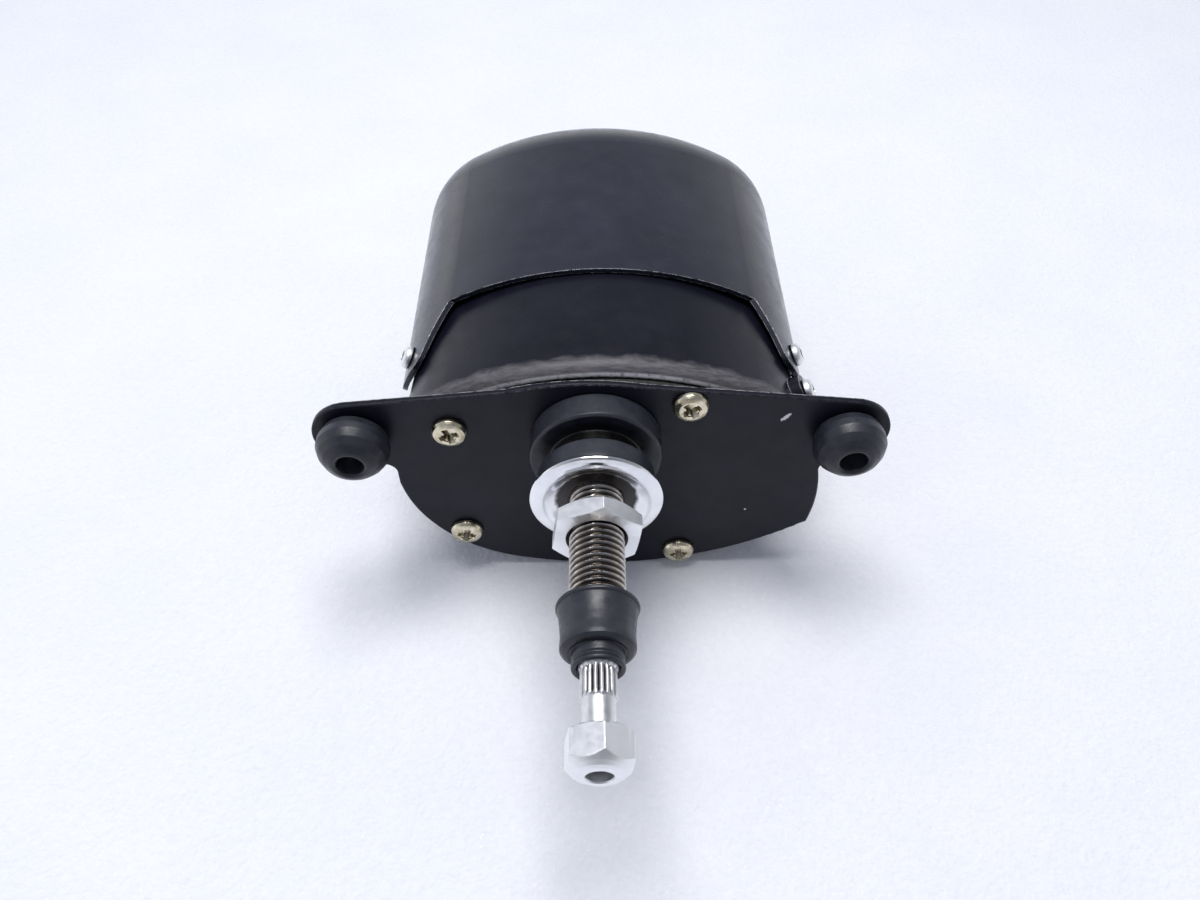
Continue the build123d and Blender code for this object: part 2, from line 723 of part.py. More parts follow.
def make_mounting_nut():
    return hex_nut(NUT_ACROSS_FLATS, NUT_TURN, NUT_FRONT_Y, NUT_BACK_Y, BUSH_R)


def make_dust_boot():
    """The rubber cap over the bush's tip, open for the spindle."""
    bore = SPINDLE_R + 1.5 * RUNNING_GAP
    clip_room_y = BUSH_TIP_Y - 2.0
    return turned(
        [
            (BOOT_RIM_Y, BUSH_R),
            (BOOT_RIM_Y, BOOT_RIM_R - 0.7),
            (BOOT_RIM_Y - 0.7, BOOT_RIM_R),
            (BOOT_RIM_Y - BOOT_RIM_H + 1.0, BOOT_RIM_R - 0.2),
            (BOOT_RIM_Y - BOOT_RIM_H - 1.0, BOOT_WAIST_R + 0.2),
            (BOOT_RIM_Y - BOOT_RIM_H - 2.6, BOOT_WAIST_R + 0.1),
            (BOOT_BULGE_Y + 1.4, BOOT_BULGE_R - 0.2),
            (BOOT_BULGE_Y, BOOT_BULGE_R),
            (BOOT_BULGE_Y - 1.6, BOOT_BULGE_R - 0.7),
            (BOOT_BULGE_Y - 2.8, BOOT_NECK_R + 0.5),
            (BOOT_BULGE_Y - 3.4, BOOT_NECK_R),
            (BOOT_TIP_Y + 0.4, BOOT_NECK_R),
            (BOOT_TIP_Y, BOOT_NECK_R - 0.4),
            (BOOT_TIP_Y, bore),
            (clip_room_y, bore),
            (clip_room_y, BUSH_R),
        ]
    )


def make_spindle():
    return turned(
        [
            (SECTOR_END_Y + CLIP_GAP + CLIP_T, 0),
            (SECTOR_END_Y + CLIP_GAP + CLIP_T, SPINDLE_R),
            (BOOT_TIP_Y, SPINDLE_R),
            (BOOT_TIP_Y, KNURL_R),
            (KNURL_END_Y, KNURL_R),
            (KNURL_END_Y, SHANK_R),
            (ARM_NUT_Y, SHANK_R),
            (SPINDLE_TIP_Y + 0.5, SHANK_R),
            (SPINDLE_TIP_Y, SHANK_R - 0.5),
            (SPINDLE_TIP_Y, 0),
        ]
    )


def make_arm_nut():
    """The hex cap nut on the spindle's tip, its front end coned and drilled."""
    front = ARM_NUT_FRONT_Y
    corner_r = ARM_NUT_ACROSS_FLATS / sqrt(3)
    block = prism(hexagon(ARM_NUT_ACROSS_FLATS, ARM_NUT_TURN), front, ARM_NUT_Y)
    trim = turned(
        [
            (ARM_NUT_Y, 0),
            (ARM_NUT_Y, corner_r),
            (front + ARM_NUT_CHAMFER_H, corner_r),
            (front, ARM_NUT_FACE_R),
            (front, 0),
        ]
    )
    nut = block & trim
    nut = nut - rod(SPINDLE_POS, SHANK_R, SPINDLE_TIP_Y, ARM_NUT_Y + 1)
    return nut - rod(SPINDLE_POS, ARM_NUT_HOLE_R, front - 1, ARM_NUT_Y)


def clip(centre, radius, bore, y0):
    """A retaining clip: a thin ring with a slot at one side."""
    ring = tube(centre, radius, bore, y0, y0 + CLIP_T)
    notch = Pos(centre[0] + radius, centre[1]) * Rectangle(radius, bore)
    return ring - prism(notch, y0 - 1, y0 + CLIP_T + 1)


# ---------------------------------------------------------------- gear train
def gear(module, teeth, phase, centre, bore, y0, y1):
    face = Pos(*centre) * (gear_face(module, teeth, phase) - Circle(bore))
    return prism(face, y0, y1)


def make_spindle_pinion():
    gap_direction = SECTOR_DIRECTION + 180 / OUTPUT_PINION_TEETH
    return gear(
        OUTPUT_MODULE,
        OUTPUT_PINION_TEETH,
        gap_direction,
        SPINDLE_POS,
        SPINDLE_R,
        SECTOR_Y,
        SECTOR_END_Y,
    )


def make_sector_gear():
    """A toothed segment with its hub, web and the arm that the link drives."""
    toward = SECTOR_DIRECTION - 180
    face = gear_face(OUTPUT_MODULE, SECTOR_FULL_TEETH, toward, SECTOR_CUT_TEETH)
    rim_r = pitch_r(OUTPUT_MODULE, SECTOR_FULL_TEETH) + OUTPUT_MODULE
    half_span = (SECTOR_CUT_TEETH / 2 + 0.1) * 360 / SECTOR_FULL_TEETH
    reach = 2 * rim_r
    wedge = make_face(
        Polyline(
            (0, 0),
            polar((0, 0), reach, toward - half_span),
            polar((0, 0), reach, toward),
            polar((0, 0), reach, toward + half_span),
            close=True,
        )
    )
    arm_end = polar((0, 0), SECTOR_ARM, SECTOR_ARM_DIRECTION)
    arm = slot_shape((0, 0), arm_end, LINK_EYE_R)
    shape = (face & wedge) + Circle(SECTOR_HUB_R) + arm
    web_hole = polar((0, 0), (SECTOR_HUB_R + rim_r) / 2 - OUTPUT_MODULE, toward)
    shape = shape - Pos(*web_hole) * Circle(SECTOR_HOLE_R)
    shape = shape - Circle(STUD_R + RUNNING_GAP)
    shape = shape - Pos(*arm_end) * Circle(LINK_PIN_R)
    return prism(Pos(*SECTOR_POS) * shape, SECTOR_Y, SECTOR_END_Y)


def make_link_rod():
    body = slot_shape(CRANK_PIN_POS, LINK_PIN_POS, LINK_EYE_R * 0.75)
    for pos in (CRANK_PIN_POS, LINK_PIN_POS):
        body = body + Pos(*pos) * Circle(LINK_EYE_R)
    body = body - Pos(*LINK_PIN_POS) * Circle(LINK_PIN_R + RUNNING_GAP)
    body = body - Pos(*CRANK_PIN_POS) * Circle(CRANK_PIN_R + RUNNING_GAP)
    return prism(body, LINK_Y, LINK_END_Y)


def make_crank_wheel():
    """The large spur wheel whose pin drives the link, with a ring of lightening holes."""
    phase = WHEEL_DIRECTION + 180 + 180 / WHEEL_TEETH
    face = gear_face(WHEEL_MODULE, WHEEL_TEETH, phase) - Circle(STUD_R + RUNNING_GAP)
    for k in range(5):
        spot = polar((0, 0), WHEEL_HOLE_RING_R, k * 60 + LINK_HEADING - 30)
        face = face - Pos(*spot) * Circle(WHEEL_HOLE_R)
    pin_spot = (CRANK_PIN_POS[0] - WHEEL_POS[0], CRANK_PIN_POS[1] - WHEEL_POS[1])
    face = face - Pos(*pin_spot) * Circle(CRANK_PIN_R)
    return prism(Pos(*WHEEL_POS) * face, WHEEL_Y, WHEEL_END_Y)


def make_reduction_gear():
    """The large gear that the motor turns, with its hub towards the bearing plate."""
    phase = REDUCTION_DIRECTION + 180 + 180 / REDUCTION_TEETH
    face = gear_face(MOTOR_MODULE, REDUCTION_TEETH, phase)
    pinion_r = pitch_r(WHEEL_MODULE, WHEEL_PINION_TEETH)
    for k in range(6):
        spot = polar((0, 0), REDUCTION_HOLE_RING_R, k * 60)
        face = face - Pos(*spot) * Circle(REDUCTION_HOLE_R)
    face = face - Circle(STUD_R + RUNNING_GAP)
    wheel = prism(Pos(*REDUCTION_POS) * face, REDUCTION_Y, REDUCTION_END_Y)
    hub_end = REDUCTION_END_Y + REDUCTION_HUB_H
    hub = tube(
        REDUCTION_POS, pinion_r, STUD_R + RUNNING_GAP, REDUCTION_END_Y, hub_end
    )
    return wheel + hub


def make_reduction_pinion():
    return gear(
        WHEEL_MODULE,
        WHEEL_PINION_TEETH,
        WHEEL_DIRECTION,
        REDUCTION_POS,
        STUD_R + RUNNING_GAP,
        WHEEL_Y,
        REDUCTION_Y,
    )


def make_motor_pinion():
    return gear(
        MOTOR_MODULE,
        MOTOR_PINION_TEETH,
        REDUCTION_DIRECTION,
        MOTOR_POS,
        SHAFT_R,
        REDUCTION_Y - 0.5,
        REDUCTION_END_Y + 0.5,
    )


def shoulder_stud(centre, shoulder_r, shoulder_y):
    """A stud pressed into the bearing plate, thick down to its shoulder."""
    return turned(
        [
            (BEARING_PLATE_END_Y, 0),
            (BEARING_PLATE_END_Y, STUD_R),
            (CASE_END_Y, STUD_R),
            (CASE_END_Y, shoulder_r),
            (shoulder_y, shoulder_r),
            (shoulder_y, STUD_R),
            (WHEEL_Y - CLIP_GAP - CLIP_T, STUD_R),
            (WHEEL_Y - CLIP_GAP - CLIP_T, 0),
        ],
        centre,
    )


def make_sector_stud():
    return rod(SECTOR_POS, STUD_R, CASE_FRONT_Y, SECTOR_END_Y + CLIP_GAP + CLIP_T)


def make_link_pin():
    return rod(LINK_PIN_POS, LINK_PIN_R, SECTOR_Y, LINK_END_Y + CLIP_GAP + CLIP_T)


def make_crank_pin():
    return rod(CRANK_PIN_POS, CRANK_PIN_R, LINK_END_Y + OPEN_PIVOT_GAP, WHEEL_END_Y)


# ---------------------------------------------------------------- motor
def make_bearing_plate():
    """The plate on the case's open end that carries the studs and the front bearing."""
    face = case_oval(0, CASE_END_Y)
    for pos in (REDUCTION_POS, WHEEL_POS):
        face = face - Pos(*pos) * Circle(STUD_R)
    face = face - Pos(*MOTOR_POS) * Circle(BEARING_R)
    for side in (-1, 1):
        face = face - Pos(*bolt_pos(side)) * Circle(MOTOR_BOLT_R)
    return prism(face, CASE_END_Y, BEARING_PLATE_END_Y)


def bolt_pos(side):
    """Where a motor bolt runs, beside the yoke."""
    reach = YOKE_R + MOTOR_BOLT_HEAD_R + 0.6
    return (MOTOR_X + side * reach, MOTOR_Z)


def make_motor_yoke():
    """A drawn steel can with a bearing boss and two bolt ears at its closed end."""
    can = rod(MOTOR_POS, YOKE_R, BEARING_PLATE_END_Y, YOKE_END_Y)
    can = can - rod(MOTOR_POS, YOKE_R - YOKE_T, BEARING_PLATE_END_Y, YOKE_FLOOR_Y)
    boss_end = REAR_BEARING_END_Y + YOKE_BOSS_END_T
    can = can + rod(MOTOR_POS, BEARING_R + YOKE_T, YOKE_END_Y, boss_end)
    can = can - rod(MOTOR_POS, BEARING_R, YOKE_FLOOR_Y, REAR_BEARING_END_Y)
    for side in (-1, 1):
        ear = slot_shape(MOTOR_POS, bolt_pos(side), MOTOR_EAR_R)
        ear = ear - Pos(*MOTOR_POS) * Circle(YOKE_R - 1)
        ear = ear - Pos(*bolt_pos(side)) * Circle(MOTOR_BOLT_R)
        can = can + prism(ear, YOKE_FLOOR_Y, YOKE_END_Y)
    return can


def make_magnet(side):
    """One arc magnet inside the yoke."""
    outer = YOKE_R - YOKE_T
    ring = Circle(outer) - Circle(outer - MAGNET_T)
    reach = 2 * outer
    middle = 90 * side
    wedge = make_face(
        Polyline(
            (0, 0),
            polar((0, 0), reach, middle - MAGNET_ANGLE / 2),
            polar((0, 0), reach, middle),
            polar((0, 0), reach, middle + MAGNET_ANGLE / 2),
            close=True,
        )
    )
    return prism(Pos(*MOTOR_POS) * (ring & wedge), MAGNET_Y, MAGNET_Y + MAGNET_L)


def make_armature_shaft():
    return turned(
        [
            (REDUCTION_Y - 0.5, 0),
            (REDUCTION_Y - 0.5, SHAFT_R),
            (REAR_BEARING_END_Y, SHAFT_R),
            (REAR_BEARING_END_Y, 0),
        ],
        MOTOR_POS,
    )


def make_armature_core():
    """The laminated core: a slotted drum whose slots open through narrow mouths."""
    face = Circle(CORE_R) - Circle(SHAFT_R)
    mid_r = CORE_R - CORE_MOUTH_SINK - CORE_SLOT_DEPTH / 2
    for k in range(CORE_SLOTS):
        turn = k * 360 / CORE_SLOTS
        slot = Pos(mid_r, 0) * Rectangle(CORE_SLOT_DEPTH, CORE_SLOT_W)
        mouth = Pos(CORE_R, 0) * Rectangle(2 * CORE_MOUTH_SINK + 1, CORE_SLOT_W / 3)
        face = face - Rot(0, 0, turn) * (slot + mouth)
    return prism(Pos(*MOTOR_POS) * face, CORE_Y, CORE_END_Y)


def make_windings():
    """The copper end turns at both ends of the core, joined by the wire in its slots."""
    outer = CORE_R - CORE_MOUTH_SINK
    front = end_turns(outer, CORE_Y - WINDING_H, CORE_Y, -1)
    back = end_turns(outer, CORE_END_Y, CORE_END_Y + WINDING_H, 1)
    wire = None
    mid_r = CORE_R - CORE_MOUTH_SINK - CORE_SLOT_DEPTH / 2
    for k in range(CORE_SLOTS):
        turn = k * 360 / CORE_SLOTS
        bar = Rot(0, 0, turn) * Pos(mid_r, 0) * Rectangle(
            CORE_SLOT_DEPTH - 0.6, CORE_SLOT_W - 0.4
        )
        wire = bar if wire is None else wire + bar
    bars = prism(Pos(*MOTOR_POS) * wire, CORE_Y, CORE_END_Y)
    return front + back + bars


def end_turns(outer, y0, y1, away):
    """A rounded copper bundle beside the core, with its outer edge rounded."""
    inner = outer - CORE_SLOT_DEPTH
    ring = tube(MOTOR_POS, outer, inner, y0, y1)
    far = y1 if away > 0 else y0
    rims = ring.edges().filter_by(GeomType.CIRCLE)
    rims = rims.filter_by(lambda e: abs(e.center().Y - far) < 0.01)
    return fillet(rims, CORE_SLOT_DEPTH * 0.3)


def make_commutator():
    body = tube(MOTOR_POS, COMMUTATOR_R, SHAFT_R, COMMUTATOR_Y, COMMUTATOR_END_Y)
    slits = None
    for k in range(CORE_SLOTS):
        turn = (k + 0.5) * 360 / CORE_SLOTS
        slit = Rot(0, 0, turn) * Pos(COMMUTATOR_R, 0) * Rectangle(1.6, 0.5)
        slits = slit if slits is None else slits + slit
    slit_end = COMMUTATOR_END_Y - COMMUTATOR_RIM
    cut = prism(Pos(*MOTOR_POS) * slits, COMMUTATOR_Y - 1, slit_end)
    return body - cut


def make_front_bearing():
    y0 = CASE_END_Y
    return tube(MOTOR_POS, BEARING_R, SHAFT_R + RUNNING_GAP, y0, BEARING_PLATE_END_Y)


def make_rear_bearing():
    inner = SHAFT_R + RUNNING_GAP
    return tube(MOTOR_POS, BEARING_R, inner, YOKE_FLOOR_Y, REAR_BEARING_END_Y)


BRUSH_MID_Y = COMMUTATOR_Y + COMMUTATOR_L / 2 - 1.0
BRUSH_CARD_Y = BRUSH_MID_Y - BRUSH_W / 2 - BRUSH_CARD_T
BRUSH_START = COMMUTATOR_R + BRUSH_GAP
BRUSH_END = BRUSH_START + BRUSH_L


def make_brush_card():
    """The insulating ring beside the commutator, with the two brush guides on it."""
    outer = YOKE_R - YOKE_T
    card = tube(
        MOTOR_POS, outer, COMMUTATOR_R + 1.0, BRUSH_CARD_Y, BRUSH_CARD_Y + BRUSH_CARD_T
    )
    wall = 1.2
    inner_end = BRUSH_START + 2.0
    length = outer - 2.5 - inner_end
    for side in (-1, 1):
        middle = MOTOR_X + side * (inner_end + length / 2)
        guide = Pos(middle, BRUSH_MID_Y, MOTOR_Z) * Box(
            length, BRUSH_W, BRUSH_W + 2 * wall
        )
        room = Pos(middle - side * wall, BRUSH_MID_Y, MOTOR_Z) * Box(length, BRUSH_W, BRUSH_W)
        card = card + (guide - room)
    return card


def make_brush(side):
    middle = MOTOR_X + side * (BRUSH_START + BRUSH_L / 2)
    return Pos(middle, BRUSH_MID_Y, MOTOR_Z) * Box(BRUSH_L, BRUSH_W, BRUSH_W)


def make_brush_spring(side):
    """A coil spring behind a brush, as its closed outer shape."""
    outer_end = YOKE_R - YOKE_T - 2.5 - 1.2
    length = outer_end - BRUSH_END
    middle = MOTOR_X + side * (BRUSH_END + length / 2)
    return Pos(middle, BRUSH_MID_Y, MOTOR_Z) * Rot(0, 90, 0) * Cylinder(
        BRUSH_W / 2 - 0.2, length
    )


def make_motor_bolt(side):
    pos = bolt_pos(side)
    shank = rod(pos, MOTOR_BOLT_R, CASE_END_Y, YOKE_END_Y)
    head = prism(
        Pos(*pos) * hexagon(MOTOR_BOLT_HEAD_R * sqrt(3), 0),
        YOKE_END_Y,
        YOKE_END_Y + MOTOR_BOLT_HEAD_H,
    )
    return shank + head


def make_park_contact():
    """The spring finger that feels the wheel's back, on its insulating block."""
    x, z = polar(WHEEL_POS, 14.5, 180)
    block_y = CASE_END_Y - 5.0
    tip_y = WHEEL_END_Y + OPEN_PIVOT_GAP
    block = Box(6, CASE_END_Y - block_y, 8)
    block = Pos(x, (block_y + CASE_END_Y) / 2, z) * block
    finger = Pos(x, (tip_y + block_y) / 2, z) * Box(0.6, block_y - tip_y, 4)
    foot = Pos(x + 1.5, tip_y + 0.3, z) * Box(3, 0.6, 4)
    return block + finger + foot


def make_wire_grommet():
    """The inlet's rubber grommet in the cover's back wall."""
    inside_y = COVER_BACK_Y - COVER_T
    lip = turned(
        [
            (inside_y - INLET_INNER_LIP_H, INLET_BORE_R),
            (inside_y - INLET_INNER_LIP_H, INLET_LIP_R - 0.5),
            (inside_y, INLET_LIP_R - 0.5),
            (inside_y, INLET_R),
            (COVER_BACK_Y, INLET_R),
            (COVER_BACK_Y, INLET_LIP_R),
            (COVER_BACK_Y + 1.2, INLET_LIP_R),
            (COVER_BACK_Y + INLET_LIP_H, INLET_BORE_R + 1.6),
            (COVER_BACK_Y + INLET_LIP_H, INLET_BORE_R),
        ],
        (INLET_X, INLET_Z),
    )
    return lip


# ---------------------------------------------------------------- all the nodes
def build_nodes():
    clip_y = SECTOR_END_Y + CLIP_GAP
    nodes = {
        "mount_plate": make_mount_plate(),
        "plate_gasket": make_plate_gasket(),
        "gear_case": make_gear_case(),
        "motor_cover": make_motor_cover(),
        "cover_screw_left": make_side_screw(SIDE_SCREWS[0], 0),
        "cover_screw_right": make_side_screw(SIDE_SCREWS[1], 0),
        "earth_screw": make_side_screw(SIDE_SCREWS[2], -EARTH_PAD_RISE),
        "grommet_left": make_grommet(EAR_LEFT_X),
        "grommet_right": make_grommet(EAR_RIGHT_X),
        "spindle_bush": make_spindle_bush(),
        "panel_seal": make_panel_seal(),
        "cup_washer": make_cup_washer(),
        "mounting_nut": make_mounting_nut(),
        "dust_boot": make_dust_boot(),
        "spindle": make_spindle(),
        "arm_nut": make_arm_nut(),
        "spindle_pinion": make_spindle_pinion(),
        "spindle_clip_front": clip(
            SPINDLE_POS, SPINDLE_R + 1.3, SPINDLE_R, BUSH_TIP_Y - CLIP_GAP - CLIP_T
        ),
        "spindle_clip_rear": clip(SPINDLE_POS, SPINDLE_R + 1.8, SPINDLE_R, clip_y),
        "sector_stud": make_sector_stud(),
        "sector_clip": clip(SECTOR_POS, STUD_CLIP_R + 1.3, STUD_R, clip_y),
        "sector_gear": make_sector_gear(),
        "link_pin": make_link_pin(),
        "link_clip": clip(
            LINK_PIN_POS, LINK_PIN_R + 1.6, LINK_PIN_R, LINK_END_Y + CLIP_GAP
        ),
        "link_rod": make_link_rod(),
        "crank_wheel": make_crank_wheel(),
        "crank_pin": make_crank_pin(),
        "wheel_stud": shoulder_stud(
            WHEEL_POS, STUD_R + WHEEL_SHOULDER, WHEEL_END_Y + CLIP_GAP
        ),
        "wheel_clip": clip(
            WHEEL_POS, STUD_CLIP_R, STUD_R, WHEEL_Y - CLIP_GAP - CLIP_T
        ),
        "reduction_gear": make_reduction_gear(),
        "reduction_pinion": make_reduction_pinion(),
        "reduction_stud": shoulder_stud(
            REDUCTION_POS,
            STUD_R + REDUCTION_SHOULDER,
            REDUCTION_END_Y + REDUCTION_HUB_H + CLIP_GAP,
        ),
        "reduction_clip": clip(
            REDUCTION_POS, STUD_CLIP_R + 0.6, STUD_R, WHEEL_Y - CLIP_GAP - CLIP_T
        ),
        "bearing_plate": make_bearing_plate(),
        "park_contact": make_park_contact(),
        "motor_yoke": make_motor_yoke(),
        "armature_shaft": make_armature_shaft(),
        "motor_pinion": make_motor_pinion(),
        "armature_core": make_armature_core(),
        "armature_windings": make_windings(),
        "commutator": make_commutator(),
        "front_bearing": make_front_bearing(),
        "rear_bearing": make_rear_bearing(),
        "brush_card": make_brush_card(),
        "wire_grommet": make_wire_grommet(),
    }
    for k, pos in enumerate(PLATE_SCREW_POS):
        nodes[f"plate_screw_{k + 1}"] = make_plate_screw(pos)
    for side, name in ((-1, "left"), (1, "right")):
        nodes[f"brush_{name}"] = make_brush(side)
        nodes[f"brush_spring_{name}"] = make_brush_spring(side)
        nodes[f"motor_bolt_{name}"] = make_motor_bolt(side)
    for side, name in ((-1, "lower"), (1, "upper")):
        nodes[f"magnet_{name}"] = make_magnet(side)
    return nodes


os.makedirs("parts", exist_ok=True)
for node, shape in build_nodes().items():
    export_step(shape, f"parts/{node}.step")
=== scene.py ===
import math

import bmesh
import bpy
from mathutils import Matrix, Vector, noise


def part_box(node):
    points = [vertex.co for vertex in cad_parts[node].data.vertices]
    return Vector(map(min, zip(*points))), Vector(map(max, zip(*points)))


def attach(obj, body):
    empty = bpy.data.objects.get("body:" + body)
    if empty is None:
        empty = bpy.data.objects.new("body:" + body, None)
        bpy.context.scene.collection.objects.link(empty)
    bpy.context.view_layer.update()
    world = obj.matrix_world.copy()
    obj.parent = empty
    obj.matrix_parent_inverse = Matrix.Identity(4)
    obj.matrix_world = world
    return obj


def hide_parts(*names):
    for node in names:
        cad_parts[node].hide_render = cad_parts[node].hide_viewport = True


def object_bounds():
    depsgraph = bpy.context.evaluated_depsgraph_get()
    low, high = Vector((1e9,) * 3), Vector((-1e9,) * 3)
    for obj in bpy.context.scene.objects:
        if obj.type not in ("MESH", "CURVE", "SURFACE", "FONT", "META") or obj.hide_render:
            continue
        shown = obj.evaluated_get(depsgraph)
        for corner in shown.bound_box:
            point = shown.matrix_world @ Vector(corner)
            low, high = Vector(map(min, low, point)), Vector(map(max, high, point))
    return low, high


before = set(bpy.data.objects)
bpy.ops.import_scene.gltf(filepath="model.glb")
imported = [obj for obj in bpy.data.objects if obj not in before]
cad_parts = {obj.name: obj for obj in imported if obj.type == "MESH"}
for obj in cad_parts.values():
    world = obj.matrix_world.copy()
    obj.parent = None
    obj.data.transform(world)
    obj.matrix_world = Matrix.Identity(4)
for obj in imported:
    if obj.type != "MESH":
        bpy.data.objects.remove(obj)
CAD_BOX = [list(corner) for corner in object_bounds()]

# Lengths are in millimetres, turned to metres where a mesh or a node takes them. The lamp's
# and the floor's sizes alone are in metres.
MM = 0.001

# ---------------------------------------------------------------- sizes shared with the CAD
BUSH_R = 5.9
BUSH_BORE_R = 4.05
BUSH_TIP_Y = -52.0
BUSH_THREAD_END_Y = -18.2
BUSH_COLLAR_R = 9.5
BUSH_COLLAR_Y = -3.0
BUSH_SPIGOT_R = 7.0
BUSH_BACK_Y = 5.8
THREAD_PITCH = 1.5
THREAD_DEPTH = 0.62

SPINDLE_R = 4.0
SPINDLE_BACK_Y = 13.4
KNURL_START_Y = -60.0
KNURL_END_Y = -65.8
KNURL_R = 3.6
KNURL_TEETH = 18
SHANK_R = 3.2
SPINDLE_TIP_Y = -78.5

SEAL_GROOVE_BACK_Y = -6.6
SEAL_GROOVE_FRONT_Y = -11.5
WASHER_SEAT_R = 8.9

# The two hex nuts stand with a corner near the top.
NUT_CORNER_ANGLE = 82.0
NUT_CORNER_ROUND = 0.3
# A nut is turned this much wider than its flats, past its corners, and then trimmed.
NUT_BLANK = 1.17
MOUNTING_NUT_FLAT = 9.0
MOUNTING_NUT_BACK_Y = -24.3
MOUNTING_NUT_FRONT_Y = -28.8
ARM_NUT_FLAT = 6.0
ARM_NUT_BACK_Y = -72.7
ARM_NUT_FRONT_Y = -80.8
ARM_NUT_HOLE_R = 2.55

PLATE_SCREW_HEAD_R = 4.1
PLATE_SCREW_HEAD_H = 2.3
PLATE_SCREW_RECESS = 6.0
# Each plate screw's number and how far its head is turned, in degrees.
PLATE_SCREWS = ((1, 20.0), (2, 34.0), (3, -12.0), (4, 8.0))
SIDE_SCREW_HEAD_R = 2.9
SIDE_SCREW_HEAD_H = 2.0
SIDE_SCREW_RECESS = 3.6
SIDE_SCREW_LEAN = 27.387
# Each side screw's node, the side it faces, its seat, and how far its head is turned.
SIDE_SCREWS = (
    ("cover_screw_left", -1, (-45.598, 26.0, 1.5), 25.0),
    ("cover_screw_right", 1, (49.398, 26.0, 1.5), 60.0),
    ("earth_screw", 1, (50.286, 13.0, 1.96), 10.0),
)

EAR_LEFT_X = -55.1
EAR_RIGHT_X = 57.9
EAR_Z = 1.3

PLATE_T = 1.4
GASKET_T = 1.4
CASE_FRONT_Y = PLATE_T + GASKET_T
FLOOR_Z = CAD_BOX[0][2] / MM

# ---------------------------------------------------------------- mesh settings
# Turned skins end this far from their axis.
AXIS_R = 0.02
# How many steps turn a rounded corner.
CORNER_STEPS = 3
DOME_STEPS = 6
THREAD_STEPS_PER_TURN = 10
# A Phillips recess: its widths at the mouth and at the bottom and its reach at the bottom, as
# shares of its size.
RECESS_MOUTH = 0.155
RECESS_BOTTOM = 0.09
RECESS_NARROWS = 0.42

# ---------------------------------------------------------------- camera
CAMERA_PLACE = Vector((-1.088, -151.46, 167.21)) * MM
CAMERA_TARGET = Vector((1.0, 0.0, -4.0)) * MM
CAMERA_ROLL = 0.15
CAMERA_FOCUS_PIXELS = 976.0
PICTURE_WIDTH_PIXELS = 1200.0
SENSOR_WIDTH = 36.0


def add_camera():
    """The camera at the photograph's place, fitted to points measured in it."""
    data = bpy.data.cameras.new("camera")
    data.sensor_width = SENSOR_WIDTH
    data.lens = CAMERA_FOCUS_PIXELS / PICTURE_WIDTH_PIXELS * SENSOR_WIDTH
    data.clip_start = 0.01
    camera = bpy.data.objects.new("camera", data)
    bpy.context.scene.collection.objects.link(camera)
    forward = (CAMERA_TARGET - CAMERA_PLACE).normalized()
    level = forward.cross(Vector((0, 0, 1))).normalized()
    upright = level.cross(forward)
    roll = math.radians(CAMERA_ROLL)
    right = level * math.cos(roll) + upright * math.sin(roll)
    up = right.cross(forward)
    turn = Matrix((right, up, -forward)).transposed()
    camera.matrix_world = Matrix.Translation(CAMERA_PLACE) @ turn.to_4x4()
    bpy.context.scene.camera = camera


